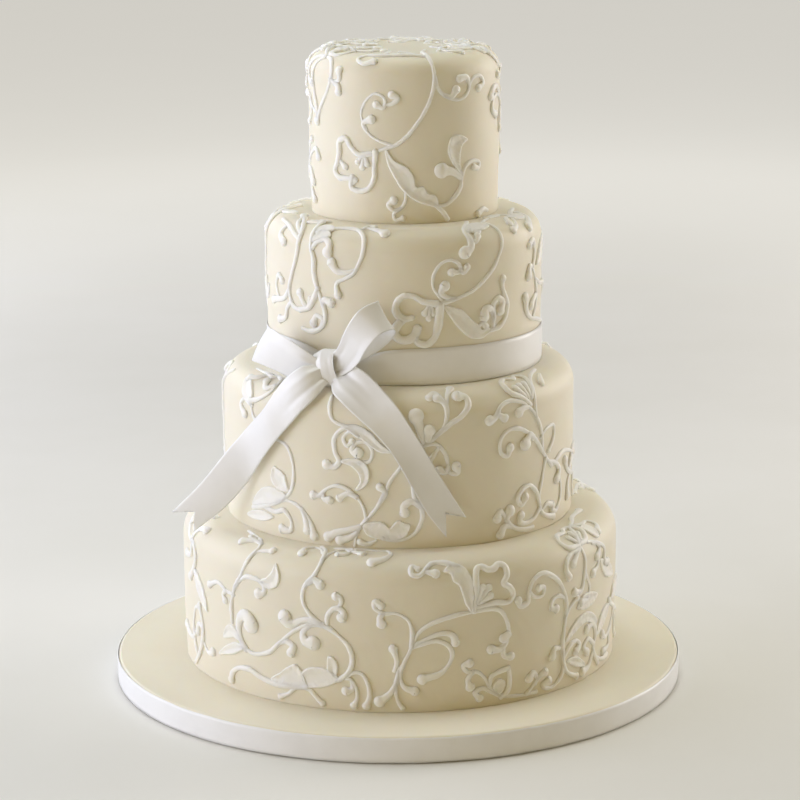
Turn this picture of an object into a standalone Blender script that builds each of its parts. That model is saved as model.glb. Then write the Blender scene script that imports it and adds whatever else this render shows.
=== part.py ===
"""A four-tier wedding cake on its iced drum, with piped scrollwork and a satin bow.

Metres, +Z up.  The origin is the centre of the drum's underside, and the front of the
cake faces -Y.  The lists below give places in millimetres, which MM turns into metres.
"""

import math

import bmesh
import bpy
import numpy as np
from mathutils import Vector
from mathutils.geometry import delaunay_2d_cdt

MM = 0.001
GAP = 0.3  # between pieces that touch

# Drum, in millimetres.
BOARD_RADIUS = 178.0
DRUM_THICKNESS = 12.0
BOARD_PASTE_TOP = 16.2
BOARD_PASTE_ROUNDING = 1.6
BOARD_RIBBON_BOTTOM = 0.7
BOARD_RIBBON_WIDTH = 15.0
RIBBON_THICKNESS = 0.6

# Tiers, in millimetres: centre, foot and top heights, radius at the foot and at the
# shoulder, the shoulder's rounding, and how far in on the top the piping may reach.
TIERS = {
    "base": dict(x=1.3, foot=16.2, top=108.6, foot_radius=134.5, radius=136.0, rounding=16.0, ledge=8.5),
    "third": dict(x=1.3, foot=108.6, top=202.4, foot_radius=107.5, radius=108.7, rounding=15.0, ledge=2.0),
    "second": dict(x=5.0, foot=202.4, top=294.7, foot_radius=84.0, radius=84.4, rounding=14.0, ledge=10.0),
    "top": dict(x=5.5, foot=294.7, top=394.3, foot_radius=56.8, radius=58.3, rounding=13.0, ledge=40.0),
}
ROUND_STEPS = 40
SHOULDER_STEPS = 3

# The band of ribbon round the second tier's foot, and the bow tied on it.
BAND_WIDTH = 22.3
BAND_CLEARANCE = 0.5
BOW_THICKNESS = 0.9
KNOT_CENTRE = (-40.5, -82.0, 214.0)
KNOT_HALF_SIZE = (9.5, 7.5, 11.0)
KNOT_TURN = -28.0  # degrees about Z, so that it faces outwards
KNOT_LEAN = -12.0  # degrees about its own outward axis
NOTCH_DEPTH = 0.62  # of the ribbon's width, in the ends of the tails

# Pairs of points along the two edges of the ribbon, from the knot outwards.
LOOP_RIGHT = [
    ((-41, -86, 219), (-35, -88.5, 209)),
    ((-31, -95, 230), (-25, -99, 214)),
    ((-24, -98, 243), (-16, -103, 226)),
    ((-16, -99, 253), (-9, -104, 238)),
    ((-10.5, -94, 255.5), (-0.6, -98, 239)),
    ((-14, -88.5, 252), (-3, -92, 233)),
    ((-24, -87.5, 240), (-15, -90.5, 224)),
    ((-33, -86, 228), (-27, -88.5, 216)),
    ((-40, -80, 218), (-36, -80.5, 211)),
]
LOOP_LEFT = [
    ((-45, -86, 218), (-44, -85, 207)),
    ((-55, -84, 225), (-57, -80, 204)),
    ((-66, -76, 230.5), (-70, -70, 208)),
    ((-74, -64, 233), (-82, -60, 211)),
    ((-77, -57.5, 233), (-87, -52, 211.5)),
    ((-73, -57, 234), (-83, -50, 213)),
    ((-61, -68, 231.5), (-68, -62, 212)),
    ((-50, -78.5, 225), (-54, -74, 210)),
    ((-42, -79, 217), (-43, -78, 210)),
]
TAIL_LEFT = [
    ((-44, -84, 217), (-38, -86, 207)),
    ((-50, -87, 216), (-42, -92, 204)),
    ((-55.2, -88, 215.6), (-48.1, -97, 198)),
    ((-64.2, -86, 209.1), (-57.1, -96, 189)),
    ((-71.6, -81.5, 199.5), (-64.5, -91, 179.5)),
    ((-79, -79, 188), (-71.8, -86, 170)),
    ((-88.6, -68, 175), (-81.2, -77, 155.5)),
    ((-103.2, -62.4, 157.1), (-89.5, -66.5, 140.3)),
    ((-119.8, -56.1, 135.6), (-103.5, -60, 122.8)),
    ((-137.7, -49.8, 116.3), (-124.5, -53, 104.5)),
]
TAIL_RIGHT = [
    ((-33, -88, 215), (-40, -87, 205)),
    ((-27, -91.5, 216.5), (-38.5, -93, 204.5)),
    ((-22.6, -95, 215.8), (-37.5, -98.5, 201.6)),
    ((-15.6, -99.5, 211.8), (-32.7, -104.5, 197.4)),
    ((-6.9, -106, 203.6), (-21.6, -111, 188)),
    ((1.8, -111.5, 194), (-15.8, -113, 183.2)),
    ((10.5, -112.5, 180.2), (-4.1, -115, 170.1)),
    ((25.1, -110.5, 154.2), (9.2, -117, 147.8)),
    ((33.5, -108, 139.5), (17.6, -115.5, 132.5)),
    ((40.8, -105.5, 127.2), (28.8, -112, 117)),
]

# Piping, in millimetres.  A point on a tier is (u, v): u runs to the right round the
# wall from the middle of the front, and v runs up the wall from the foot, over the
# shoulder and in along the top.
LINE = 1.25  # half the width of a piped line
LINE_HEIGHT = 1.9
LEAF_HEIGHT = 1.4
PIPING_CLEARANCE = 0.5
TIP = 0.45  # of a bud's radius, half the width of its blunt end
BEND_TOLERANCE = 1.5
SAG_TOLERANCE = 0.35
BUD_HEIGHT = 2.4
LOWEST_SHARE = 0.4  # of a line's height, anywhere inside its outline
RIDGE_INSET = 0.15  # of the first and last stretch of a line
PIPING_FOOT = 1.0  # from a tier's foot up to its lowest piping
WELD = 1e-4


def stem(*points, half=LINE):
    """A piped line of even width through the points."""
    return dict(points=points, half=half, end=None)


def bud(*points, end=2.4, half=LINE):
    """A piped line that ends in a round bud of the radius `end`."""
    return dict(points=points, half=half, end=end)


def leaf(one_side, other_side):
    """A filled leaf between two sides that share their first and last points."""
    return dict(sides=(one_side, other_side))


TOP_FRONT = [
    stem((26, 124), (17, 114), (15.5, 104), (17.5, 94), (18, 84), (15, 73), (9, 62), (2, 53),
         (-5, 47.5), (-12, 45), (-20, 42)),
    bud((-6, 47), (-15, 49.5), (-21, 54), (-23.8, 59), (-20, 63.5), end=2.5),
    bud((-23, 56), (-26.5, 65), (-24, 72), (-17, 77.5), (-11.5, 74.5), (-12.5, 69), (-17, 70), end=1.9),
    stem((-20, 42), (-28, 41), (-33.5, 45), (-37, 50), (-42, 48), (-42.5, 41), (-44, 36), (-46.5, 30),
         (-43, 26.5), (-33, 26), half=1.3),
    stem((-33, 27), (-34, 21), (-28, 19), (-22, 21), (-18.8, 27), (-18.3, 34), (-17.5, 43), half=1.3),
    leaf(((-11.5, 45), (-9.5, 36), (-5, 27), (0, 20), (6, 15), (13, 12), (21, 10)),
         ((-11.5, 45), (-6, 37.5), (1, 33.5), (5, 28), (6.5, 22), (11, 21.5), (13.5, 17.5), (18.5, 16),
              (21, 10))),
    bud((1, 21), (0.5, 14), (-2.5, 9.5), (-7, 8.5), (-10, 12), (-7.5, 15), end=2.1),
    bud((19, 10.7), (26, 11), (31.5, 15), (36, 20.5), (37, 27), (39.5, 33), (45, 35.5), (51, 34),
         (50, 30.5), (46, 30.5), end=1.8),
    leaf(((36.5, 27), (30, 36), (27.5, 43), (29, 49.5), (34, 51.5), (41, 49)),
         ((36.5, 27), (34.5, 36), (35, 43), (37.5, 47.5), (41, 49))),
    bud((18.3, 87), (20.5, 80), (26, 75), (33, 73), (38.5, 75), (41.5, 80), (39.5, 86), (34.5, 86.5),
         end=1.7),
    bud((41, 79), (45, 85), (51, 85.5), (54, 81), (50.5, 77.5), end=2.0),
    bud((16, 101), (8, 103), (-6, 103.5), (-18, 102.5), (-27, 102), (-31, 98), (-26, 95), (-19, 96.5),
         end=2.1),
]
TOP_LEFT = [
    bud((-84, 108), (-72, 104), (-60, 98.5), (-52, 95.5), (-48.5, 89), (-50.5, 81), (-55, 73),
         (-60, 66), (-64, 58), end=2.8),
    bud((-60, 98.5), (-70, 95), (-76, 88), (-73, 81), (-68, 82), end=2.2),
    bud((-63, 62), (-72, 66), (-78, 73), (-84, 74), end=2.0),
]
TOP_LEFT_LOW = [
    bud((-92, 20), (-85, 30), (-75, 38), (-66, 41), (-62.5, 37), end=2.2),
]
TOP_RIGHT = [
    bud((90, 60), (84, 67), (76, 72), (68, 71), (65, 64), (70, 59.5), end=2.3),
    bud((80, 70), (73, 77), (66, 77), (62, 73), end=2.2),
]
SECOND_FRONT = [
    stem((66, 100), (67, 89), (64, 79), (59, 69), (52, 62), (43, 55.5), (34, 52), (26, 50), (18, 48.5)),
    bud((22, 51), (17, 59), (17.5, 67), (22, 73), (28, 74.5), (33, 71.5), (34, 67.5), (28.5, 66),
         end=2.0),
    stem((19, 49), (11, 50.5), (5, 54), (-1, 54), (-5, 49.5), (-4.5, 43.5), (0, 40.5), (4, 41),
         half=1.6),
    stem((0, 40.5), (-4, 37), (-6, 32.5), (-3, 28.5), (2, 28), (6, 31), (7.5, 35), half=1.6),
    stem((6, 31), (7.5, 26.5), (13, 25), (17.5, 28.5), (19.5, 35), (20.5, 42), (21, 48), half=1.7),
    leaf(((23, 48.5), (30, 45), (35, 43.5), (39, 39), (43, 35.5), (46, 33.5), (48, 30.8), (52, 31.5),
         (56, 30)),
         ((23, 48.5), (29, 39), (35, 32), (41, 27.5), (48, 26.5), (56, 30))),
    bud((55, 30), (62, 31.5), (67, 37), (68.5, 44), (66, 50), (64, 56), (64, 60), end=1.8, half=1.3),
    bud((56.5, 30.5), (57, 38), (54.5, 43), (50, 43.5), (48.5, 40), (52, 39), end=1.8),
    bud((57.5, 36), (57, 46), (61, 49), (65, 46), (65.5, 40), (61.5, 38), end=1.9),
]
SECOND_UPPER = [
    bud((52, 106), (45, 99), (39.5, 92), (40.5, 84), (40.5, 79.5), (36, 77.5), (31.5, 81), end=2.1),
]
SECOND_LEFT = [
    bud((-37, 104), (-34, 94.5), (-28, 91), (-25, 86), (-24.5, 80), (-27, 73), (-31, 66.5), (-36, 62),
         (-40.5, 59), (-41, 53), end=1.9, half=1.1),
    bud((-29.5, 69), (-37, 67), (-43, 67.5), (-45.5, 71), end=2.6),
]
SECOND_LEFT_TWO = [
    stem((-66, 105), (-61, 95), (-61, 87), (-60, 79), (-57.5, 73), (-58, 65), (-56, 57), (-53, 50),
         (-50, 42), (-50.5, 36), (-54, 31.5), (-61, 29), (-68, 30), half=1.2),
    bud((-60, 78), (-55, 83), (-49, 84.5), (-46, 80), end=2.7),
]
SECOND_LEFT_THREE = [
    stem((-88, 102), (-78, 96), (-71.5, 88), (-71.5, 79), (-74, 70), (-78, 60), (-80.5, 51), (-77, 43),
         (-70, 41), (-63, 43.5), (-61.5, 49), half=1.2),
    stem((-72, 84), (-79, 87), (-90, 91), (-104, 93), half=1.1),
    bud((-80, 53), (-86, 46), (-93, 44), (-102, 42), end=2.2),
    bud((-78, 45), (-83, 40), (-85, 34), (-92, 31), end=2.4),
]
SECOND_RIGHT = [
    bud((124, 24), (108, 28), (96, 31), (89.5, 36), (87, 45), end=2.4),
    bud((100, 31), (104.5, 40), (104, 50), (99.5, 60), (93, 63.5), (90, 58), end=2.6),
    bud((103, 54), (112, 50), (124, 48), end=2.0),
]
SECOND_RIGHT_LEDGE = [
    bud((130, 104), (112, 104), (98, 101), (84, 98), (79, 93), end=2.0),
    bud((112, 104), (110, 94), (103, 90), (97, 87), end=2.8),
]
THIRD_FRONT = [
    stem((-42.5, 92), (-42, 84), (-39.5, 77.5), (-33, 74.5), (-26, 74), (-18, 71), half=1.1),
    bud((-29, 74.3), (-35, 71.5), (-38.8, 66), (-38.5, 58), (-36, 52.5), (-39, 48.5), (-44, 48.5),
         end=2.6, half=1.2),
    leaf(((-36.5, 53), (-30, 51.5), (-25, 48), (-22.5, 42), (-26, 35)),
         ((-36.5, 53), (-26, 54.5), (-20, 51.5), (-18, 45), (-20.5, 39), (-26, 35))),
    bud((-24, 52.5), (-18, 55.5), (-17.5, 60.5), (-23, 62.5), (-27, 60), (-24, 57), end=1.7),
]
THIRD_FRONT_LOW = [
    bud((-20, 17), (-21.5, 25), (-26, 32), (-32, 36.5), (-39, 37.5), (-45, 34.5), (-49, 30), (-53, 29),
         end=2.4),
    bud((-20, 17), (-13, 26), (-8.5, 35), (-4, 44), (1, 51), (4, 58), end=1.2),
    stem((-19, 19), (-23, 14), (-26, 8), (-27, 1), half=1.1),
    bud((-23.5, 13.3), (-31, 11), (-38, 9), (-44, 6), end=2.7),
    leaf(((-22.5, 14.5), (-15, 16), (-9, 15.5), (-6, 12.5), (-1, 17), (4, 15.5), (6.5, 15.5)),
         ((-22.5, 14.5), (-19, 9), (-11, 7), (-2, 6), (4, 9), (6.5, 15.5))),
    stem((-10, 7), (-2, 5.5), (6, 7.5), (11, 12), (13.5, 19), (12.5, 26), (9, 31), (8, 38), half=1.1),
]
THIRD_LEFT = [
    stem((-104, 14), (-90, 18), (-78, 23), (-71, 31), (-68.5, 41), (-69.5, 51), (-73, 58), (-80, 60.5),
         (-90, 58), half=1.3),
    leaf(((-72, 30), (-76, 40), (-83, 43)), ((-72, 30), (-80, 31), (-84.5, 36), (-83, 43))),
    bud((-76, 24.5), (-84, 29.5), (-93, 28), end=2.6),
    bud((-80, 22), (-72, 23.5), (-65, 22), (-60.5, 16), (-58.5, 8), end=2.2, half=1.2),
    bud((-92, 16.5), (-82, 15), (-75, 17), (-70.5, 12), (-71, 6), (-77, 4.3), end=2.2),
]
THIRD_LEFT_UP = [
    bud((-128, 106), (-110, 107), (-96, 104), (-87.5, 98), (-87, 90), (-94, 84), (-104, 80),
         end=2.2, half=1.2),
    bud((-104, 106), (-108, 97), (-116, 93), end=2.4),
]
THIRD_MIDDLE = [
    bud((13, 62.5), (21, 67.5), (26, 73), (28.5, 81), (28, 88), (24.5, 92.5), end=2.5, half=1.1),
    bud((20.5, 67.5), (30, 75), (38, 80), (42.5, 86), (42, 91.5), (37.5, 93.5), end=2.6, half=1.1),
    bud((14, 63.5), (22, 63.5), (27, 58), (29, 51), (30, 46), (35.5, 45.5), (35.5, 49.5),
         end=2.2, half=1.1),
]
THIRD_RIGHT = [
    bud((110, 38), (100, 48), (92, 58), (84, 64), (76, 67.5), (68, 66.5), (63.5, 61), (64, 54),
         (69, 51.5), (72, 55.5), end=2.2, half=1.2),
    bud((100, 48), (98.5, 60), (93.5, 71), (87, 78), (80, 82.5), (72, 84.5), (65, 83), (61.5, 78.5),
         (65.5, 74), end=2.1, half=1.1),
    bud((88, 77), (82, 84), (75, 88), (71.5, 93), (77, 98), (86, 104), end=1.6, half=1.1),
    stem((93, 72), (91, 82), (94, 92), (104, 99), (118, 106), half=1.1),
    bud((97.5, 58), (103, 62), (110, 63), (116, 59), end=2.0),
    bud((103, 45), (100, 33), (97.5, 23), (98, 14), (104, 8), (114, 5), end=2.2, half=1.2),
    bud((97.5, 17), (94, 25), (88, 30), (81, 29), (77.5, 24), (81, 20), (84.5, 23), end=1.9),
    bud((98, 14), (92, 8.5), (84, 7), (78.5, 9), (79, 13), end=2.2),
    bud((107, 41), (115, 38), (121, 33), (119, 27), end=2.6),
    bud((112, 38), (126, 43), (142, 40), (158, 35), end=2.0),
]
THIRD_RIGHT_FOOT = [
    bud((92, 3.2), (84, 3.2), (75, 6), (70, 9.5), (68, 13), (69.5, 18), end=2.9),
]
THIRD_FAR_RIGHT = [
    bud((165, 18), (150, 24), (137, 29), (131, 36), end=2.4),
    bud((156, 22), (158, 12), (166, 7), end=2.4),
]
BASE_LEFT = [
    stem((-128, 113), (-115, 105.5), (-103, 100.5), (-97.5, 94), (-100, 84), (-105, 74), (-111, 64),
         (-114, 54), (-114, 43), half=1.2),
    bud((-110.5, 65), (-104, 72), (-96, 75), (-88, 73.5), (-81, 73.5), (-77.5, 78), (-78.5, 83.5),
         end=1.9, half=1.2),
    bud((-88, 73.5), (-83.5, 68), (-86, 62.5), (-93, 61.5), end=2.2),
    bud((-111.5, 62), (-120, 61.5), (-128, 63.5), (-138, 60.5), end=2.4),
]
BASE_SCROLL = [
    stem((-106, 30), (-97, 27), (-89, 28), (-82, 31), (-77, 36), (-71, 41.5), (-65, 46.5), (-58, 50.5),
         (-51, 52.5), (-44, 51.5), (-37, 47), (-31, 41), (-28.5, 34), (-29.5, 27), (-33, 22),
         (-38, 18.5), half=1.2),
    bud((-104, 30), (-108.5, 37), (-108, 45), (-103, 52), (-96.5, 51.5), (-94, 46.5), (-97, 42.5),
         end=3.6, half=2.2),
    bud((-106, 30), (-113, 38), (-120, 37), (-122, 30), (-121, 24), end=1.6, half=1.3),
    bud((-103, 28), (-112, 24), (-122, 21.5), end=2.0, half=1.4),
    bud((-48, 52.5), (-55, 54.5), (-62, 52.5), (-69, 49.5), (-74, 53), (-72, 58.5), (-67.5, 58),
         end=2.2, half=2.0),
    bud((-50, 50), (-56.5, 49.5), (-59, 44), (-56, 39.5), (-49, 39), end=2.6, half=1.9),
    bud((-45, 51.8), (-52, 56), (-57, 61.5), (-59, 68), (-57.5, 75), (-52, 81.5), (-49.5, 88),
         (-49, 96), (-52, 104), (-57, 112), end=1.1),
    bud((-43.5, 52), (-44, 57.5), (-40.5, 62), (-35.5, 63), (-33, 59.5), (-36, 56.5), end=2.0),
    bud((-32, 22), (-27, 24.5), (-22.5, 23.5), (-19.5, 18), (-18.5, 10), (-20, 3.8), end=2.0, half=1.2),
    bud((-34, 20.5), (-29.5, 20), (-26.5, 14.5), (-26, 8), (-27.5, 3.6), end=1.7),
    leaf(((-36, 19.5), (-40, 23), (-48, 25), (-56, 24), (-60.5, 19.5), (-58, 12.5)), ((-36, 19.5),
         (-46, 14.5), (-58, 12.5))),
    leaf(((-57, 12.5), (-61, 22), (-65, 25), (-71, 22), (-76, 18), (-83, 13.5)), ((-57, 12.5),
         (-70, 11.5), (-83, 13.5))),
    leaf(((-39, 20), (-38, 27), (-40.5, 32.5), (-43.5, 33.5)), ((-39, 20), (-43, 25), (-43.5, 33.5))),
    bud((-57, 12.5), (-70, 11), (-84, 11.5), (-94, 14.5), (-103, 16), (-111, 13.5), (-117, 8),
         (-121, 3.5), end=1.4, half=1.1),
    bud((-62, 11.8), (-71, 7.5), (-79, 3.4), end=1.4),
]
BASE_MIDDLE = [
    bud((-1, 28), (-2, 20), (-6, 12), (-12, 6.5), end=2.8),
    bud((-1, 26), (-3, 16), (-1.5, 7), (1, 3), end=1.3),
    bud((7, 44), (6, 39), (2, 31), (0, 24), (2, 16), (8, 12.5), end=2.3),
    bud((6.5, 40), (7, 50), (4.5, 57.5), (-2, 61.5), (-9, 61.5), (-15, 64.5), (-13, 69), (-10.5, 66.5),
         end=1.8),
    stem((6.5, 41), (11, 49.5), (18, 54.5), (27, 57.5), (36, 59.5), (45, 60.5), half=1.1),
    bud((43, 60.3), (53, 61), (61, 59), (65.5, 52), (67, 45), (65, 38.5), (61, 34.5), (55.5, 34),
         end=2.5, half=1.3),
    bud((8, 42), (16, 46), (24, 48.5), (31, 47.5), (34, 43), end=2.1),
    bud((7, 40.5), (15, 43), (22, 44), (28.5, 41), (31, 35), (28.5, 28.5), (23, 23.5), (13, 20.5),
         end=2.6),
    leaf(((42.5, 60), (40, 66), (38, 73), (36, 78), (32, 81), (30, 85), (26, 85.5)),
         ((42.5, 60), (43.5, 70), (42.5, 80), (38.5, 87), (32, 90.5), (26, 85.5))),
    bud((36, 88.5), (27, 91.5), (20, 91.5), (15, 88), (10, 86), (8.5, 90), end=1.7),
    stem((44, 60.5), (46, 70), (45, 80), (47.5, 86), (54, 86.5), (61, 86.5), (66, 82.5), (65.5, 76),
         (67, 71), (69, 66.5), (66.5, 63), (57, 64.5), (46.5, 63), half=1.6),
]
BASE_HEART = [
    bud((88, 3.2), (75, 3.4), (66, 4.5), (60, 6), (55, 12), (51.5, 18), (46.5, 22.5), (40, 23.5),
         (37.5, 28), (41, 30), end=2.1, half=1.1),
    bud((63, 5), (55, 9.5), (49.5, 12), (45.5, 9.5), (47, 5.5), end=1.9),
    stem((62, 4.5), (66.5, 8), (68, 15), (67, 22.5), half=1.2),
    leaf(((59, 7), (57, 12.5), (61, 15.5), (64.5, 14)), ((59, 7), (62, 8.5), (64.5, 14))),
    bud((80, 3.3), (85, 7.5), (88, 12), (84.5, 16.5), (81, 14), end=2.2),
]
BASE_RIGHT = [
    bud((110, 20), (109, 30), (111, 42), (112, 52), (110, 61), (105, 69), (98, 74.5), (91, 77),
         (84.5, 74), (81, 67), (80, 61), (74, 59.5), (72, 62.5), end=1.9, half=1.4),
    bud((111, 57), (105, 59.5), (99.5, 58), (98.5, 54), (102, 51.5), end=2.2, half=1.3),
    bud((109.5, 24), (110.5, 16), (115, 9), (124, 4.5), end=2.0, half=1.2),
    bud((110.5, 16), (109, 9), (101, 3.5), (94, 5), (92, 10), (95.5, 14.5), end=1.8),
    bud((111, 45), (117, 38), (126, 32), end=2.6, half=1.3),
]
BASE_RIGHT_VINE = [
    bud((136, 98), (130, 90), (126, 84), (119, 83.5), (112.5, 80), (111, 74.5), (113.5, 69),
         end=2.0, half=1.3),
    bud((130, 90), (121, 89), (115, 91.5), (119, 97.5), (128, 103), end=1.6, half=1.2),
    bud((128, 86), (132, 76), (131, 66), (126, 57), (120, 58), end=2.3, half=1.4),
    bud((131, 68), (136, 58), (134, 50), (128, 49), end=2.3, half=1.3),
    bud((134, 88), (143, 84), (142, 92), (136, 95), end=2.2),
    bud((143, 84), (151, 82), (158, 77), (157, 69), (163, 65.5), end=2.4, half=1.3),
    bud((136, 96), (150, 103), (166, 109), (184, 112), end=2.0, half=1.3),
    bud((143.5, 99.5), (151, 97.5), (160, 98), (163, 92), (159, 88), end=2.2),
]
BASE_FAR_RIGHT = [
    bud((200, 26), (184, 33), (170, 39.5), end=2.4, half=1.3),
    bud((186, 32), (178, 24), (166, 18), (157, 22), end=2.4, half=1.3),
    bud((172, 20), (172, 11), (160, 10), end=2.2, half=1.3),
    bud((190, 30), (190, 18), (198, 10), end=2.2, half=1.3),
]
BASE_RIGHT_LOW = [
    bud((152, 5), (144, 16), (146, 26), (142, 33), (134, 33), end=2.4, half=1.4),
    bud((144, 20), (136, 25), (131, 21), (134, 16), end=2.2, half=1.3),
]
BASE_FAR_LEFT = [
    bud((-196, 96), (-184, 88), (-172, 82), (-162, 80), (-157, 74), (-160, 66), (-168, 58),
         end=2.4, half=1.3),
]
BASE_FAR_LEFT_LOW = [
    bud((-164, 4), (-156, 12), (-150, 22), (-149, 33), (-152, 42), end=2.2, half=1.3),
    bud((-149.3, 30), (-158, 33), (-166, 29), end=2.4),
    bud((-151, 20), (-162, 22), (-172, 18), (-186, 22), end=2.4),
]

# Sprays on each tier, by node name.
SPRAYS = {
    "piping_top_front": ("top", TOP_FRONT),
    "piping_top_left": ("top", TOP_LEFT),
    "piping_top_left_low": ("top", TOP_LEFT_LOW),
    "piping_top_right": ("top", TOP_RIGHT),
    "piping_second_front": ("second", SECOND_FRONT),
    "piping_second_upper": ("second", SECOND_UPPER),
    "piping_second_left": ("second", SECOND_LEFT),
    "piping_second_left_two": ("second", SECOND_LEFT_TWO),
    "piping_second_left_three": ("second", SECOND_LEFT_THREE),
    "piping_second_right": ("second", SECOND_RIGHT),
    "piping_second_ledge": ("second", SECOND_RIGHT_LEDGE),
    "piping_third_front": ("third", THIRD_FRONT),
    "piping_third_front_low": ("third", THIRD_FRONT_LOW),
    "piping_third_left": ("third", THIRD_LEFT),
    "piping_third_left_up": ("third", THIRD_LEFT_UP),
    "piping_third_middle": ("third", THIRD_MIDDLE),
    "piping_third_right": ("third", THIRD_RIGHT),
    "piping_third_right_foot": ("third", THIRD_RIGHT_FOOT),
    "piping_third_far_right": ("third", THIRD_FAR_RIGHT),
    "piping_base_left": ("base", BASE_LEFT),
    "piping_base_scroll": ("base", BASE_SCROLL),
    "piping_base_middle": ("base", BASE_MIDDLE),
    "piping_base_heart": ("base", BASE_HEART),
    "piping_base_right": ("base", BASE_RIGHT),
    "piping_base_vine": ("base", BASE_RIGHT_VINE),
    "piping_base_right_low": ("base", BASE_RIGHT_LOW),
    "piping_base_far_right": ("base", BASE_FAR_RIGHT),
    "piping_base_far_left": ("base", BASE_FAR_LEFT),
    "piping_base_far_left_low": ("base", BASE_FAR_LEFT_LOW),
}
# Sprays piped again on the side away from the front: turned about the tier, in degrees.
BACK_TURNS = {
    "piping_top_left": 240.0,
    "piping_second_left_two": 205.0,
    "piping_third_left": 200.0,
    "piping_third_middle": 185.0,
    "piping_base_left": 203.0,
    "piping_base_right": 160.0,
}


def clear_scene():
    for obj in list(bpy.data.objects):
        bpy.data.objects.remove(obj, do_unlink=True)


def make_material(name, colour, roughness):
    material = bpy.data.materials.new(name)
    material.use_nodes = True
    shader = material.node_tree.nodes["Principled BSDF"]
    shader.inputs["Base Color"].default_value = (*colour, 1.0)
    shader.inputs["Roughness"].default_value = roughness
    shader.inputs["Metallic"].default_value = 0.0
    material.diffuse_color = (*colour, 1.0)
    return material


def make_object(name, mesh, material):
    obj = bpy.data.objects.new(name, mesh)
    bpy.context.collection.objects.link(obj)
    mesh.materials.append(material)
    return obj


def mesh_from(name, points, faces):
    """A mesh with its faces pointing outwards, from points in millimetres."""
    mesh = bpy.data.meshes.new(name)
    mesh.from_pydata([tuple(MM * c for c in p) for p in points], [], faces)
    shape = bmesh.new()
    shape.from_mesh(mesh)
    bmesh.ops.recalc_face_normals(shape, faces=shape.faces)
    shape.to_mesh(mesh)
    shape.free()
    return mesh


def turned(name, profile, material, centre_x=0.0, closed=False):
    """A solid of revolution about a vertical axis through (centre_x, 0).

    profile holds (radius, z) points.  An open profile starts and ends on the axis; a
    closed one is a ring's section.
    """
    shape = bmesh.new()
    verts = [shape.verts.new((MM * r, 0.0, MM * z)) for r, z in profile]
    edges = [shape.edges.new(pair) for pair in zip(verts, verts[1:])]
    if closed:
        edges.append(shape.edges.new((verts[-1], verts[0])))
    bmesh.ops.spin(
        shape,
        geom=verts + edges,
        cent=(0.0, 0.0, 0.0),
        axis=(0.0, 0.0, 1.0),
        angle=2 * math.pi,
        steps=ROUND_STEPS,
        use_merge=True,
    )
    bmesh.ops.remove_doubles(shape, verts=shape.verts, dist=1e-6)
    bmesh.ops.recalc_face_normals(shape, faces=shape.faces)
    mesh = bpy.data.meshes.new(name)
    shape.to_mesh(mesh)
    shape.free()
    mesh.shade_smooth()
    mesh.set_sharp_from_angle(angle=math.radians(50))
    obj = make_object(name, mesh, material)
    obj.location.x = MM * centre_x
    return obj


def wall_height(tier):
    return tier["top"] - tier["foot"] - tier["rounding"]


def shoulder_length(tier):
    return tier["rounding"] * math.pi / 2


def section(tier, v):
    """Radius, height and outward direction at the arc length v up a tier's outline."""
    wall = wall_height(tier)
    rounding = tier["rounding"]
    if v <= wall:
        bulge = math.sin(v / wall * math.pi / 2)
        radius = tier["foot_radius"] + (tier["radius"] - tier["foot_radius"]) * bulge
        return radius, tier["foot"] + v, 1.0, 0.0
    angle = min((v - wall) / rounding, math.pi / 2)
    inner = tier["radius"] - rounding
    past = max(v - wall - shoulder_length(tier), 0.0)
    radius = inner + rounding * math.cos(angle) - past
    height = tier["foot"] + wall + rounding * math.sin(angle)
    return radius, height, math.cos(angle), math.sin(angle)


def on_tier(tier, u, v, lift):
    """The point at (u, v) on a tier, raised off its surface by lift."""
    radius, height, out, up = section(tier, v)
    radius += lift * out
    angle = u / tier["radius"]
    return (
        tier["x"] + radius * math.sin(angle),
        -radius * math.cos(angle),
        height + lift * up,
    )


def make_tier(name, tier, material):
    """A covered tier: a wall that bulges a little, and a rounded shoulder."""
    wall = wall_height(tier)
    arc = shoulder_length(tier)
    rows = [0.0, wall / 2, wall]
    rows += [wall + arc * step / SHOULDER_STEPS for step in range(1, SHOULDER_STEPS + 1)]
    outline = [section(tier, v)[:2] for v in rows]
    foot = tier["foot"] + GAP
    outline[0] = (outline[0][0], foot)
    profile = [(0.0, foot), *outline, (0.0, tier["top"])]
    return turned(name, profile, material, centre_x=tier["x"])


def make_board(drum_material, paste_material, ribbon_material):
    """The drum, the paste rolled over its top and the ribbon round its edge."""
    core = BOARD_RADIUS - RIBBON_THICKNESS - 2 * GAP
    turned(
        "board_drum",
        [(0, 0), (core, 0), (core, DRUM_THICKNESS), (0, DRUM_THICKNESS)],
        drum_material,
    )
    paste_foot = DRUM_THICKNESS + GAP
    rounding = BOARD_PASTE_ROUNDING
    lip = [
        (core - rounding * (1 - math.cos(a)), BOARD_PASTE_TOP - rounding * (1 - math.sin(a)))
        for a in (0, math.pi / 4, math.pi / 2)
    ]
    turned(
        "board_paste",
        [(0, paste_foot), (core, paste_foot), *lip, (0, BOARD_PASTE_TOP)],
        paste_material,
    )
    inner = core + 2 * GAP
    low = BOARD_RIBBON_BOTTOM
    high = low + BOARD_RIBBON_WIDTH
    turned(
        "board_ribbon",
        [(inner, low), (BOARD_RADIUS, low), (BOARD_RADIUS, high), (inner, high)],
        ribbon_material,
        closed=True,
    )


def make_band(material):
    """The flat ribbon round the foot of the second tier."""
    tier = TIERS["second"]
    inner = tier["radius"] + BAND_CLEARANCE
    outer = inner + RIBBON_THICKNESS
    low = tier["foot"] + GAP
    high = low + BAND_WIDTH
    turned(
        "ribbon_band",
        [(inner, low), (outer, low), (outer, high), (inner, high)],
        material,
        centre_x=tier["x"],
        closed=True,
    )


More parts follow.
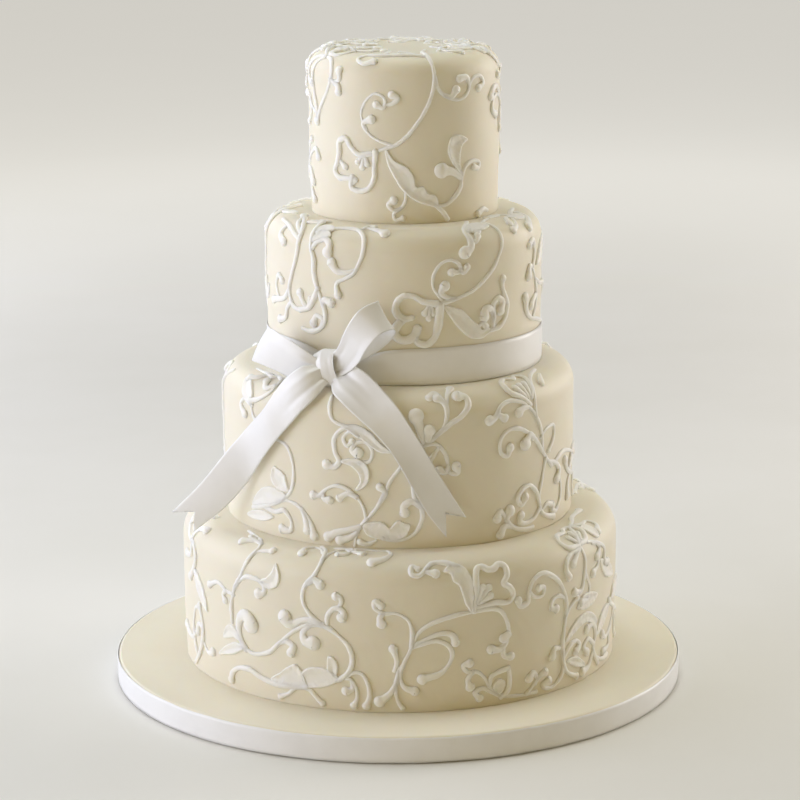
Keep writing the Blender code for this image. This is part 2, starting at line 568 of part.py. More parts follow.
def strip_mesh(name, pairs, notched=False):
    """A strip of ribbon with two edges through the pairs of points, as a closed solid."""
    rows = [(Vector(a), (Vector(a) + Vector(b)) / 2, Vector(b)) for a, b in pairs]
    if notched:
        last, middle, other = rows[-1]
        back = (rows[-2][1] - middle).normalized() * NOTCH_DEPTH * (other - last).length
        rows[-1] = (last, middle + back, other)
    points = []
    for index, row in enumerate(rows):
        before = rows[max(index - 1, 0)][1]
        after = rows[min(index + 1, len(rows) - 1)][1]
        face = (after - before).cross(row[2] - row[0]).normalized() * BOW_THICKNESS / 2
        points += [p + face for p in row]
        points += [p - face for p in reversed(row)]
    count = len(points) // len(rows)
    faces = []
    for index in range(len(rows) - 1):
        start = index * count
        for side in range(count):
            after = (side + 1) % count
            faces.append(
                (start + side, start + after, start + count + after, start + count + side)
            )
    for start in (0, len(points) - count):
        for side in (0, 1):
            faces.append(
                (start + side, start + side + 1, start + count - 2 - side, start + count - 1 - side)
            )
    return mesh_from(name, points, faces)


def make_bow(material):
    """Knot, loops and tails: one length of ribbon, so one solid."""
    shape = bmesh.new()
    bmesh.ops.create_uvsphere(shape, u_segments=10, v_segments=7, radius=1.0)
    mesh = bpy.data.meshes.new("ribbon_bow")
    shape.to_mesh(mesh)
    shape.free()
    size = Vector(KNOT_HALF_SIZE) * MM
    for vert in mesh.vertices:
        vert.co *= size
    bow = make_object("ribbon_bow", mesh, material)
    bow.location = Vector(KNOT_CENTRE) * MM
    bow.rotation_euler = (0.0, math.radians(KNOT_LEAN), math.radians(KNOT_TURN))
    strips = {
        "bow_loop_left": (LOOP_LEFT, False),
        "bow_loop_right": (LOOP_RIGHT, False),
        "bow_tail_left": (TAIL_LEFT, True),
        "bow_tail_right": (TAIL_RIGHT, True),
    }
    for name, (pairs, notched) in strips.items():
        strip = make_object(name, strip_mesh(name, pairs, notched), material)
        strip.hide_render = True
        strip.display_type = "WIRE"
        join = bow.modifiers.new(name, "BOOLEAN")
        join.operation = "UNION"
        join.object = strip
    return bow


def smooth_curve(points, steps=8):
    """A centripetal Catmull-Rom curve through the points, as an array."""
    given = np.array(points, float)
    ends = (2 * given[0] - given[1], 2 * given[-1] - given[-2])
    path = np.vstack([ends[0], given, ends[1]])
    out = []
    for index in range(1, len(path) - 2):
        p = path[index - 1 : index + 3]
        t = np.zeros(4)
        for k in range(3):
            t[k + 1] = t[k] + math.sqrt(np.linalg.norm(p[k + 1] - p[k]))
        for s in np.linspace(t[1], t[2], steps, endpoint=False):
            a = [((t[k + 1] - s) * p[k] + (s - t[k]) * p[k + 1]) / (t[k + 1] - t[k]) for k in range(3)]
            b = [((t[k + 2] - s) * a[k] + (s - t[k]) * a[k + 1]) / (t[k + 2] - t[k]) for k in range(2)]
            out.append(((t[2] - s) * b[0] + (s - t[1]) * b[1]) / (t[2] - t[1]))
    out.append(given[-1])
    return np.array(out)


def thinned(tier, curve):
    """The few points that keep a curve's bends, and its hug of the tier, to tolerance."""
    first, last = curve[0], curve[-1]
    run = last - first
    length = max(np.linalg.norm(run), 1e-9)
    away = np.abs((curve[:, 0] - first[0]) * run[1] - (curve[:, 1] - first[1]) * run[0]) / length
    if length < 1e-6:
        away = np.linalg.norm(curve - first, axis=1)
    ends = [Vector(on_tier(tier, *end, 0.0)) for end in (first, last)]
    middle = Vector(on_tier(tier, *((first + last) / 2), 0.0))
    sag = ((ends[0] + ends[1]) / 2 - middle).length
    if len(curve) < 3 or (away.max() <= BEND_TOLERANCE and sag <= SAG_TOLERANCE):
        return np.array([first, last])
    split = int(away.argmax()) if away.max() > BEND_TOLERANCE else len(curve) // 2
    split = min(max(split, 1), len(curve) - 2)
    return np.vstack([thinned(tier, curve[: split + 1])[:-1], thinned(tier, curve[split:])])


def counter_clockwise(outline):
    """The outline, turned round if it runs clockwise."""
    x, y = np.array(outline).T
    area = np.dot(x, np.roll(y, -1)) - np.dot(y, np.roll(x, -1))
    return outline if area > 0 else outline[::-1]


def line_parts(tier, stroke):
    """A line's outlines, one for each stretch of it, its ridge and its swellings."""
    half = stroke["half"]
    points = np.array(stroke["points"], float)
    margin = np.full(len(points), half)
    margin[-1] = stroke["end"] or half
    ledge = wall_height(tier) + shoulder_length(tier) + tier["ledge"]
    points[:, 1] = np.clip(points[:, 1], PIPING_FOOT + margin, ledge - margin)
    path = thinned(tier, smooth_curve(points))
    widths = np.full(len(path), half)
    if stroke["end"]:
        ahead = path[-1] - path[-2]
        ahead /= np.linalg.norm(ahead)
        reach = stroke["end"] * ahead
        path = np.vstack([path, path[-1] + reach])
        widths = np.array([*widths[:-1], stroke["end"], stroke["end"] * TIP])
    ahead = np.gradient(path, axis=0)
    ahead /= np.linalg.norm(ahead, axis=1)[:, None]
    across = np.stack([-ahead[:, 1], ahead[:, 0]], axis=1) * widths[:, None]
    left = path + across
    right = path - across
    outlines = [
        [left[k], left[k + 1], right[k + 1], right[k]] for k in range(len(path) - 1)
    ]
    ridge = path.copy()
    ridge[0] += (path[1] - path[0]) * RIDGE_INSET
    ridge[-1] += (path[-2] - path[-1]) * RIDGE_INSET
    swellings = [(ridge, half, LINE_HEIGHT)]
    if stroke["end"]:
        swellings.append((path[-2:-1], stroke["end"], BUD_HEIGHT))
    return outlines, [ridge], swellings


def leaf_parts(tier, stroke):
    """A leaf's one outline, the vein along its middle and its swelling."""
    sides = [smooth_curve(side) for side in stroke["sides"]]
    vein = []
    for share in (0.25, 0.5, 0.75):
        pair = [side[round(share * (len(side) - 1))] for side in sides]
        vein.append((pair[0] + pair[1]) / 2)
    width = max(np.linalg.norm(sides[0][len(sides[0]) // 2] - vein[1]), LINE)
    outline = [*thinned(tier, sides[0]), *thinned(tier, sides[1])[-2:0:-1]]
    return [outline], [np.array(vein)], [(np.array(vein), width, LEAF_HEIGHT)]


def triangulate(outlines, ridges):
    """Triangles that cover the outlines and keep to the ridges, with their points."""
    points = []
    edges = []
    faces = []
    for outline in outlines:
        start = len(points)
        points += [Vector(p) for p in counter_clockwise(outline)]
        faces.append(list(range(start, len(points))))
    for ridge in ridges:
        start = len(points)
        points += [Vector(p) for p in ridge]
        edges += [(k, k + 1) for k in range(start, len(points) - 1)]
    found = delaunay_2d_cdt(points, edges, faces, 1, WELD, True)
    triangles = [face for face, sources in zip(found[2], found[5]) if sources]
    return found[0], triangles


def rim_of(triangles):
    """The points on the edges that only one triangle uses."""
    uses = {}
    for triangle in triangles:
        for k in range(3):
            edge = frozenset((triangle[k], triangle[k - 1]))
            uses[edge] = uses.get(edge, 0) + 1
    rim = set()
    for edge, count in uses.items():
        if count == 1:
            rim |= edge
    return rim, uses


def split_chords(points, triangles):
    """Splits each edge that crosses from rim to rim, so that the top can rise there."""
    rim, uses = rim_of(triangles)
    points = list(points)
    for edge, count in uses.items():
        if count == 1 or not edge <= rim:
            continue
        one, other = edge
        middle = len(points)
        points.append((points[one] + points[other]) / 2)
        split = []
        for triangle in triangles:
            if not edge <= set(triangle):
                split.append(triangle)
                continue
            apex = next(k for k in triangle if k not in edge)
            split += [(one, middle, apex), (other, apex, middle)]
        triangles = split
    return points, triangles


def height_at(point, swellings):
    """How far the piping rises over a point inside its outline."""
    best = LINE_HEIGHT * LOWEST_SHARE
    for path, half, height in swellings:
        starts = path[:-1] if len(path) > 1 else path
        runs = np.diff(path, axis=0) if len(path) > 1 else np.zeros((1, 2))
        length = np.maximum((runs**2).sum(axis=1), 1e-9)
        share = np.clip(((point - starts) * runs).sum(axis=1) / length, 0, 1)
        distance = np.linalg.norm(starts + runs * share[:, None] - point, axis=1).min()
        best = max(best, height * math.sqrt(max(1 - (distance / half) ** 2, 0.0)))
    return best


def make_spray(name, tier, strokes, material, turn=0.0):
    """Piping joined into one solid: a flat underside that follows the tier, and ridges."""
    outlines = []
    ridges = []
    swellings = []
    for stroke in strokes:
        parts = leaf_parts(tier, stroke) if "sides" in stroke else line_parts(tier, stroke)
        for known, new in zip((outlines, ridges, swellings), parts):
            known += new
    under, lower_faces = triangulate(outlines, [])
    over, upper_faces = split_chords(*triangulate(outlines, ridges))
    lower_rim, _ = rim_of(lower_faces)
    upper_rim, _ = rim_of(upper_faces)
    across = math.radians(turn) * tier["radius"]

    def place(point, lift):
        return on_tier(tier, point[0] + across, point[1], PIPING_CLEARANCE + lift)

    points = []
    upper_index = {}
    for index in sorted({k for face in upper_faces for k in face}):
        lift = 0.0
        if index not in upper_rim:
            lift = height_at(np.array(over[index]), swellings)
        upper_index[index] = len(points)
        points.append(place(over[index], lift))
    rim_points = np.array([over[k] for k in upper_rim])
    rim_order = list(upper_rim)
    lower_index = {}
    for index in sorted({k for face in lower_faces for k in face}):
        if index in lower_rim:
            nearest = np.linalg.norm(rim_points - np.array(under[index]), axis=1).argmin()
            lower_index[index] = upper_index[rim_order[nearest]]
            continue
        lower_index[index] = len(points)
        points.append(place(under[index], 0.0))
    faces = [[upper_index[k] for k in face] for face in upper_faces]
    faces += [[lower_index[k] for k in face] for face in lower_faces]
    return make_object(name, mesh_from(name, points, faces), material)


def build():
    clear_scene()
    paste = make_material("sugar_paste", (0.86, 0.81, 0.69), 0.55)
    icing = make_material("royal_icing", (0.93, 0.90, 0.83), 0.5)
    satin = make_material("satin_ribbon", (0.90, 0.89, 0.92), 0.35)
    card = make_material("drum_card", (0.72, 0.72, 0.70), 0.6)
    make_board(card, paste, satin)
    for name, tier in TIERS.items():
        make_tier(f"tier_{name}", tier, paste)
    make_band(satin)
    make_bow(satin)
    for name, (tier, strokes) in SPRAYS.items():
        make_spray(name, TIERS[tier], strokes, icing)
        if name in BACK_TURNS:
            make_spray(f"{name}_back", TIERS[tier], strokes, icing, BACK_TURNS[name])


build()
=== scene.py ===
"""Look of the tiered wedding cake: iced tiers, piped scrollwork and a satin bow.

Lengths are in millimetres unless said otherwise, and MM turns them into metres.  A
point on a tier is (u, v): u runs to the right round the wall from the middle of the
front, and v runs up the wall from the foot, over the shoulder and in along the top.
"""

import math

import bpy
import numpy as np
from mathutils import Euler, Matrix, Vector, noise


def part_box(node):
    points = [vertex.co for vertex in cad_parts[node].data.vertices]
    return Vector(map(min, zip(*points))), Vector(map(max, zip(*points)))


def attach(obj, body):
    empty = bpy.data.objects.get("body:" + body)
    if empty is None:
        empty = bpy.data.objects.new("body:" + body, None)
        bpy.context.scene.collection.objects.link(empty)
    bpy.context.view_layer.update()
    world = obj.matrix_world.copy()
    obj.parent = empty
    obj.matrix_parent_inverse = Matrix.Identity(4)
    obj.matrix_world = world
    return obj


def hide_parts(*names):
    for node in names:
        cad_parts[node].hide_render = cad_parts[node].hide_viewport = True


MM = 0.001
GAP = 0.3  # between CAD nodes that touch
SEED = 11
TINY = 1e-9  # keeps a division from failing

# Shape of each tier that its CAD box doesn't give: how far the foot is drawn in, the
# shoulder's rounding, and how far in on the top the piping may reach.
TIER_SHAPES = {
    "base": dict(drawn_in=1.5, rounding=16.0, ledge=8.5),
    "third": dict(drawn_in=1.2, rounding=15.0, ledge=2.0),
    "second": dict(drawn_in=0.4, rounding=14.0, ledge=10.0),
    "top": dict(drawn_in=1.5, rounding=13.0, ledge=46.0),
}
SEGMENTS = 216  # round a tier
FOOT_ROWS = [0.35, 0.8, 1.6, 3.0]  # places of the first rows up a tier
WALL_START = 5.0  # where the even rows begin
WALL_ROWS = 34
SHOULDER_ROWS = 16
TOP_ROWS = 22
FOOT_SUNK = 0.5  # how far a tier's foot settles into what it stands on
FOOT_SPREAD = 0.1  # how far the paste's cut edge stands out
FOOT_REACH = 1.2  # how far up the wall that goes
DRUM_BEVEL = 0.8  # of its lower edge
DRUM_ROUNDING = 1.8  # of the paste's edge
DRUM_ROUND_RINGS, DRUM_TOP_RINGS = 9, 40
DRUM_TOP_RANGE = (1.0, 20.0)  # of its rings: in from the rounding, out from the middle
DRUM_FOOT = 0.02  # height of the drum's lowest ring

# Unevenness: height and size of the bumps.
SWELL = (0.45, 45.0)  # rolled paste, slow
DIMPLE = (0.06, 9.0)  # rolled paste, fine
RAGGED = (0.45, 6.0)  # the cut edge at a tier's foot
DRUM_SWELL = (0.25, 30.0)  # the paste on the drum
RIBBON_WAVE = (0.18, 26.0)  # in and out
RIBBON_EDGE_WAVE = (0.22, 14.0)  # up and down

# Piping.
STEP = 0.62  # between sections along a line
FINE_STEPS = 24  # between two given points, before the sections are placed
LINE_START = 0.8  # first full section before the first point, in half widths
END_SPAN = 3  # fine steps over which the direction of an end is taken
TIP_SPAN = 4  # the same for a rolled end
SECTION_POINTS = 10
SECTION_FROM, SECTION_TO = -24.0, 204.0  # degrees round a section
LINE_SHARE = 0.9  # of the width in the lists
RELIEF = 1.0  # height of a line over its half width
NECK = 0.8  # half width of a line where it meets its bud, as a share of the bud's radius
COMMA = 4.5  # length over which a line swells to its bud, in bud radii
COMMA_POWER = 1.4  # how late it swells
BUD_SHARE = 1.12  # of the radius in the lists
BUD_RELIEF = 0.85  # height of a small bud over its radius
BUD_FLAT, BUD_ROUND = 0.42, 1.3  # share of that for a large bud, and more over its radius
BUD_LINE_RELIEF = 1.2  # of a line by its bud, over the bud's
ROLL = 0.5  # how far a bud sits inside its curl, as a share of its radius
ROLL_LOOK_BACK = 2.5  # how far back the curl is judged, in bud radii
ROLL_GAIN = 1.5  # how soon a curl counts as a full one
CAP = np.array([0.0, 0.2, 0.4, 0.58, 0.74, 0.87, 0.96, 1.0])  # sections round an end
THINNEST = 0.03  # half width at the very ends
LOWEST = 0.4  # of piping above a tier's foot
LEAF_RIM = 0.9  # half width of a leaf's rim
LEAF_HEIGHT = 1.35  # of its rim
LEAF_STEP = 0.65  # between its sections
LEAF_COLUMNS = 19  # across it
LEAF_ENDS = 5.0  # sections over which a leaf rises at its ends
LEAF_HOLLOW = (0.5, 3.0)  # how much lower a leaf is inside its rim, and how far from it
LEAF_END_RIM = 0.05  # width of the rim at a leaf's ends, as a share
LEAF_END_LIFT = 0.1  # height there, as a share
LEAF_SINK = 0.08  # below the surface
LEAF_LOWEST = 0.5  # above a tier's foot
SINK = 0.25  # of a line below the surface
SINK_SHARE = 0.3  # of SINK, by which a line is made higher again

# Wander: how much, and over how many sections.
THICK_THIN = (0.24, 15)  # of a line's width, as a share
TREMOR = (0.05, 3)  # the same, fast
SWAY = (0.14, 12)  # sideways
RIM_WAVER = (0.25, 6)  # of the width of a leaf's rim, as a share
STREAKS = [(0.22, 2), (0.22, 2), (0.11, 3)]  # a leaf's left, right and middle

# Ribbons.
SATIN_THICKNESS = 0.35
RIBBON_INSET = 0.2  # from the outside of its CAD node
ROUND_ROWS, ROUND_COLUMNS = 9, 360
EDGE_TURN = 0.25  # how far the edges of a ribbon lie in
STRIP_STEPS, STRIP_COLUMNS = 7, 21
FOLD_WIDTH = 0.09  # as a share of the ribbon's
FOLD_FADE = 1.5  # power by which a fold dies out
HEADING_ROWS = 7  # over which the direction of a tail's end is taken
NOTCH = 0.62  # of the width, cut into the ends of the tails
GATHER_ANGLE = -26.0  # of the knot, round the tier from the front, in degrees
GATHER_SPREAD = 14.0  # degrees
GATHER = 0.4  # of the band's width, drawn down at the knot
GATHER_FADE = 1.5  # power by which that grows up the band
GATHER_FOLD = 0.35  # height of the folds there
GATHER_FOLDS, GATHER_SLANT = 16.0, 0.1  # radians across the band, and a degree round it
KNOT_ROWS, KNOT_COLUMNS = 72, 25
KNOT_CENTRE = np.array([-39.9, -82.0, 213.0])
KNOT_TURN = (0.0, -14.0, -27.0)  # degrees
KNOT_HALF = (8.0, 8.8, 11.6)  # across, from front to back, up and down
KNOT_WIDTH = (0.95, 0.03)  # share of the half width, and how much less in front
KNOT_BARREL = 0.16  # how much thinner its ends are
KNOT_FOLDS = [(0.2, 5.5, 0.0, 0.9), (0.05, 15.0, 1.0, 0.0)]  # height, rate, shift, sway
KNOT_INSIDE = 0.95  # size of its inner side to its outer one

# Materials, by slot: mottle (scale, dark, light), bumps (scale, detail, strength, depth).
MATERIALS = {
    "sugar_paste": dict(
        colour=(0.85, 0.80, 0.665),
        roughness=0.5,
        mottle=(14.0, (0.84, 0.788, 0.65), (0.86, 0.812, 0.68)),
        bumps=[(260.0, 2.0, 0.35, 0.12), (1800.0, 2.0, 0.25, 0.03)],
        Subsurface_Weight=0.25,
        Subsurface_Radius=(1.0, 0.7, 0.35),
        Subsurface_Scale=0.004,
    ),
    "royal_icing": dict(
        colour=(0.94, 0.93, 0.89),
        roughness=0.45,
        mottle=(120.0, (0.93, 0.915, 0.87), (0.95, 0.94, 0.905)),
        bumps=[(700.0, 3.0, 0.5, 0.12), (3000.0, 2.0, 0.3, 0.03)],
        Subsurface_Weight=0.3,
        Subsurface_Radius=(1.0, 0.85, 0.6),
        Subsurface_Scale=0.002,
    ),
    "satin_ribbon": dict(
        colour=(0.92, 0.925, 0.945),
        roughness=0.33,
        mottle=(60.0, (0.905, 0.91, 0.93), (0.935, 0.94, 0.96)),
        bumps=[(4000.0, 2.0, 0.25, 0.02)],
        Sheen_Weight=0.25,
        Sheen_Roughness=0.35,
        Specular_IOR_Level=0.6,
    ),
    "drum_card": dict(
        colour=(0.68, 0.68, 0.66),
        roughness=0.6,
        mottle=(300.0, (0.64, 0.64, 0.62), (0.70, 0.70, 0.68)),
        bumps=[(900.0, 2.0, 0.3, 0.05)],
    ),
    "pale_floor": dict(
        colour=(0.80, 0.79, 0.755),
        roughness=0.7,
        mottle=(5.0, (0.79, 0.78, 0.742), (0.81, 0.80, 0.768)),
    ),
}
MOTTLE_RANGE = (0.35, 0.65)  # of the noise, from the dark colour to the light one
NOISE_DETAIL, NOISE_ROUGHNESS = 3.0, 0.55

# Studio: name, place, side of the square lamp, watts, colour.
COOL = (0.97, 1.0, 1.15)
WARM = (1.0, 0.95, 0.93)
LIGHTS = [
    ("light_left_front", (-1472, -850, 600), 900, 6.8, COOL),
    ("light_left", (-1694, -148, 600), 900, 8.8, COOL),
    ("light_left_back", (-1597, 581, 700), 900, 5.2, COOL),
    ("light_left_far_back", (-1093, 1302, 900), 900, 5.5, COOL),
    ("light_right", (1600, 620, 600), 900, 12.8, WARM),
    ("light_right_back", (1393, 975, 700), 900, 3.9, WARM),
    ("light_top", (0, 200, 2000), 1200, 17.0, (0.96, 1.0, 0.95)),
    ("light_front", (0, -2200, 900), 1200, 2.5, (1.0, 0.7, 0.1)),
]
LIGHT_AIM = (0, 0, 200)  # where the lamps look
FLOOR_HALF = 8000.0  # half its width
# The far floor glows, so that it goes over into the pale backdrop.
GLOW_START = 0.7  # metres from the middle
GLOW_FULL = 2.3
GLOW = 0.57
GLOW_COLOUR = (0.95, 0.94, 0.90)
# World colours (place from the front, 0, to the back, 1).
WORLD = [(0.15, (0.20, 0.135, 0.015)), (0.5, (0.0, 0.0, 0.0)), (0.85, (0.17, 0.168, 0.16))]

# Camera, at the photograph's viewing angle.
CAMERA_LENS = 126.13
CAMERA_SENSOR = 36.0  # width
CAMERA_CLIP = (0.05, 60.0)  # metres
CAMERA_PLACE = (0.0, -1702.4, 570.05)
CAMERA_DOWN, CAMERA_YAW, CAMERA_ROLL = 13.09, 0.07, -0.31  # degrees


def stem(half, *points):
    """A piped line of an even half width through the points."""
    return dict(points=points, half=half, end=0.0)


def bud(end, half, *points):
    """A piped line that ends in a round bud of the radius `end`."""
    return dict(points=points, half=half, end=end)


def leaf(base, tip, one_side, other_side):
    """A brushed leaf from base to tip, with the points of its two sides."""
    return dict(sides=[(base, *side, tip) for side in (one_side, other_side)])


# Sprays that stand for CAD nodes, and sprays that have none.  A name starts with its tier.
SPRAYS = {}
SMALL_SPRAYS = {}
SPRAYS["top_front"] = [
    stem(1.35, (26, 124), (17, 114), (15.5, 104), (17.5, 94), (18, 84), (15, 73), (9, 62), (2, 53),
        (-5, 47.5), (-12, 45), (-20, 42)),
    bud(2.6, 1.3, (-6, 47), (-15, 49.5), (-22, 54), (-25, 60), (-20.5, 63.5)),
    bud(2.2, 1.2, (-23, 56), (-26.5, 65), (-24, 72), (-17, 77.5), (-11.5, 74.5), (-12.5, 69),
        (-17, 70)),
    bud(2.2, 1.2, (-12, 71), (-7, 72), (-3.8, 75.5), (-6.5, 78)),
    stem(2.2, (-20, 42), (-28, 41), (-33.5, 45), (-37, 50), (-42, 48), (-42.5, 41), (-44, 36),
        (-46.5, 30), (-43, 26.5), (-33, 26)),
    stem(2.2, (-33, 27), (-34, 21), (-28, 19), (-22, 21), (-18.8, 27), (-18.3, 34), (-17.5, 43)),
    bud(2.0, 1.4, (-42, 36), (-38, 33)),
    bud(1.8, 1.4, (-34, 22), (-31, 25.5)),
    bud(1.9, 1.2, (-25, 41.5), (-29, 36.5)),
    bud(1.9, 1.2, (-25, 42), (-26, 33.5)),
    bud(1.8, 1.2, (-24.5, 42), (-22.8, 35.5)),
    leaf((-11.5, 45), (21, 10), [(-9.5, 36), (-5, 27), (0, 20), (6, 15), (13, 12)], [(-6, 37.5),
        (1, 33.5), (5, 28), (6.5, 22), (11, 21.5), (13.5, 17.5), (18.5, 16)]),
    stem(1.5, (19, 10.7), (24, 6), (27, 0.5)),
    bud(2.4, 1.4, (1, 21), (0.5, 14), (-2.5, 9.5), (-7, 8.5), (-10, 12), (-7.5, 15)),
    bud(1.8, 1.3, (-2.5, 9.5), (-6.5, 6), (-5.5, 2.5), (-1, 1.8)),
    bud(2.0, 1.4, (19, 10.7), (26, 11), (31.5, 15), (36, 20.5), (37, 27), (39.5, 33), (45, 35.5),
        (51, 34), (50, 30.5), (46, 30.5)),
    bud(4.2, 1.5, (36.5, 26), (30, 31), (23, 33)),
    leaf((36.5, 27), (41, 49), [(30, 36), (27.5, 43), (29, 49.5), (34, 51.5)], [(34.5, 36),
        (35, 43), (37.5, 47.5)]),
    bud(2.2, 1.4, (18.3, 87), (20.5, 80), (26, 75), (33, 73), (38.5, 75), (41.5, 80), (39.5, 86),
        (34.5, 86.5)),
    bud(2.5, 1.3, (24, 76), (29, 74.8), (33, 78)),
    bud(2.3, 1.4, (41, 79), (45, 85), (51, 85.5), (54, 81), (50.5, 77.5)),
    bud(2.2, 1.4, (16, 101), (8, 103), (-6, 103.5), (-18, 102.5), (-27, 102), (-31, 98), (-26, 95),
        (-19, 96.5)),
    bud(1.8, 1.4, (-14, 116), (-13, 109), (-12.5, 104.5)),
    bud(2.0, 1.3, (8, 103), (3, 108), (-3, 109.5)),
    bud(2.3, 1.5, (62, 3.4), (56, 5), (51, 3.4)),
]
SPRAYS["top_left"] = [
    bud(2.8, 1.5, (-84, 108), (-72, 104), (-60, 98.5), (-52, 95.5), (-48.5, 89), (-50.5, 81),
        (-55, 73), (-60, 66), (-64, 58)),
    stem(1.5, (-60, 98.5), (-66.5, 93), (-69.8, 85), (-68, 76), (-65.5, 69), (-63.8, 60.5)),
    bud(2.5, 1.4, (-50, 84.5), (-44.5, 83), (-41, 85), (-40.5, 90)),
    bud(2.4, 1.4, (-47, 83.2), (-42, 81), (-41, 77.5)),
    bud(2.4, 1.5, (-60, 98.5), (-70, 97), (-77, 90), (-76, 82), (-71, 79)),
    bud(2.4, 1.5, (-63, 62), (-72, 66), (-78, 73), (-84, 74)),
    bud(2.2, 1.4, (-76, 70), (-74, 62), (-78, 56)),
    bud(2.4, 1.5, (-82, 104), (-88, 96), (-84, 89)),
]
SPRAYS["top_left_low"] = [
    bud(2.4, 1.4, (-92, 20), (-85, 30), (-75, 38), (-66, 41), (-62.5, 37)),
    bud(2.2, 1.4, (-80, 34), (-80, 42), (-74, 46)),
    bud(2.6, 1.4, (-86, 28), (-78, 26), (-73, 20)),
    bud(2.2, 1.3, (-80, 26.5), (-78, 16), (-72, 9)),
]
SPRAYS["top_right"] = [
    bud(2.4, 1.5, (90, 60), (84, 67), (76, 72), (68, 71), (65, 64), (70, 59.5)),
    bud(2.6, 1.5, (80, 70), (73, 77), (66, 77), (62, 73)),
    bud(2.6, 1.5, (86, 64), (80, 58), (80, 51)),
    bud(2.4, 1.5, (92, 88), (84, 88), (77, 92), (72, 98)),
    bud(2.4, 1.4, (84, 88), (80, 82), (74, 83)),
    bud(2.4, 1.4, (90, 60), (97, 52), (97, 42), (91, 36)),
]
SPRAYS["second_front"] = [
    stem(1.35, (60, 99), (64.5, 89), (63.5, 80), (59.5, 71), (52.5, 63), (43, 55.8), (34, 52),
        (26, 50), (18, 48.5)),
    bud(2.9, 1.4, (31, 51.5), (25, 52.5), (21, 56), (22.5, 60)),
    bud(2.3, 1.3, (22, 51), (17, 59), (17.5, 67), (22, 73), (28, 74.5), (33, 71.5), (34, 67.5),
        (28.5, 66)),
    bud(2.1, 1.3, (33.7, 68.5), (36, 66.5), (38.8, 69)),
    stem(2.5, (19, 49), (11, 50.5), (5, 54), (-1, 54), (-5, 49.5), (-4.5, 43.5), (0, 40.5),
        (4, 41)),
    stem(2.5, (0, 40.5), (-4, 37), (-6, 32.5), (-3, 28.5), (2, 28), (6, 31), (7.5, 35)),
    stem(2.5, (6, 31), (7.5, 26.5), (13, 25), (17.5, 28.5), (19.5, 35), (20.5, 42), (21, 48)),
    bud(1.9, 1.4, (15, 48.5), (12, 43.5)),
    bud(1.9, 1.4, (15, 48.5), (14.5, 40.5)),
    bud(1.8, 1.4, (15.5, 48.5), (17.5, 43)),
    leaf((23, 48.5), (56, 30), [(30, 45), (35, 43.5), (39, 39), (43, 35.5), (46, 33.5), (48, 30.8),
        (52, 31.5)], [(29, 39), (35, 32), (41, 27.5), (48, 26.5)]),
    bud(2.2, 1.7, (55, 30), (62, 31.5), (67, 37), (68.5, 44), (66, 50), (64, 56), (64, 60)),
    bud(3.0, 2.0, (56.5, 30.5), (57, 38), (54.5, 43), (50, 43), (48.5, 39)),
    bud(3.0, 2.0, (57.5, 36), (57, 45.5), (61, 48.5), (64.8, 45.5), (64, 40.5)),
    bud(2.0, 1.4, (46, 33.5), (50, 35.5), (52, 33.5)),
]
SPRAYS["second_upper"] = [
    bud(3.6, 1.8, (52, 106), (45, 99), (40, 92), (41.5, 85.5), (41.5, 80.5), (38, 77)),
    bud(2.1, 1.4, (40.3, 86), (45, 84), (48, 87)),
    leaf((39, 91), (61, 94), [(45, 97), (53, 98)], [(45, 91), (53, 92)]),
    bud(1.9, 1.3, (52, 93.5), (49, 89.5), (45, 90.5)),
    bud(2.0, 1.4, (60, 99), (68, 104), (78, 106.5), (90, 107)),
]
SPRAYS["second_left"] = [
    bud(2.4, 1.4, (-50, 93), (-44, 95.2), (-37, 95.5), (-31, 94.8), (-27, 91.5), (-24.5, 86),
        (-24.5, 80), (-27, 73), (-31, 66.5), (-36.5, 63), (-41.5, 60), (-41.5, 53)),
    bud(3.0, 1.3, (-31, 95), (-24, 97), (-18, 95.5), (-12, 92.5)),
    bud(1.9, 1.3, (-27, 96.5), (-24.5, 100.5), (-20.5, 101)),
    bud(2.9, 1.5, (-29.5, 69), (-36, 67), (-42, 67.3), (-46, 71)),
]
SPRAYS["second_left_two"] = [
    stem(1.7, (-66, 105), (-61.5, 96), (-61, 87), (-60, 79), (-58, 73), (-58, 65), (-56, 57),
        (-53, 50), (-50, 42), (-50.5, 36), (-54, 31.5), (-61, 29), (-68, 30)),
    bud(3.2, 2.0, (-60, 78), (-56, 83.5), (-50, 85.5), (-45.7, 82.5), (-45.8, 78)),
    bud(2.8, 1.6, (-51.5, 46), (-50, 50), (-45.5, 49.5)),
    bud(2.6, 1.4, (-53, 32.5), (-52, 37.5), (-57, 39), (-60, 35)),
    leaf((-61.5, 88), (-46, 94), [(-57, 95), (-51, 95.5)], [(-57, 90), (-51, 91.5)]),
    leaf((-61, 83), (-47, 88), [(-56, 90), (-50, 90.5)], [(-57, 84.5), (-52, 86.5)]),
    bud(1.8, 1.8, (-55, 56), (-58, 50), (-62, 43.5), (-70, 41)),
]
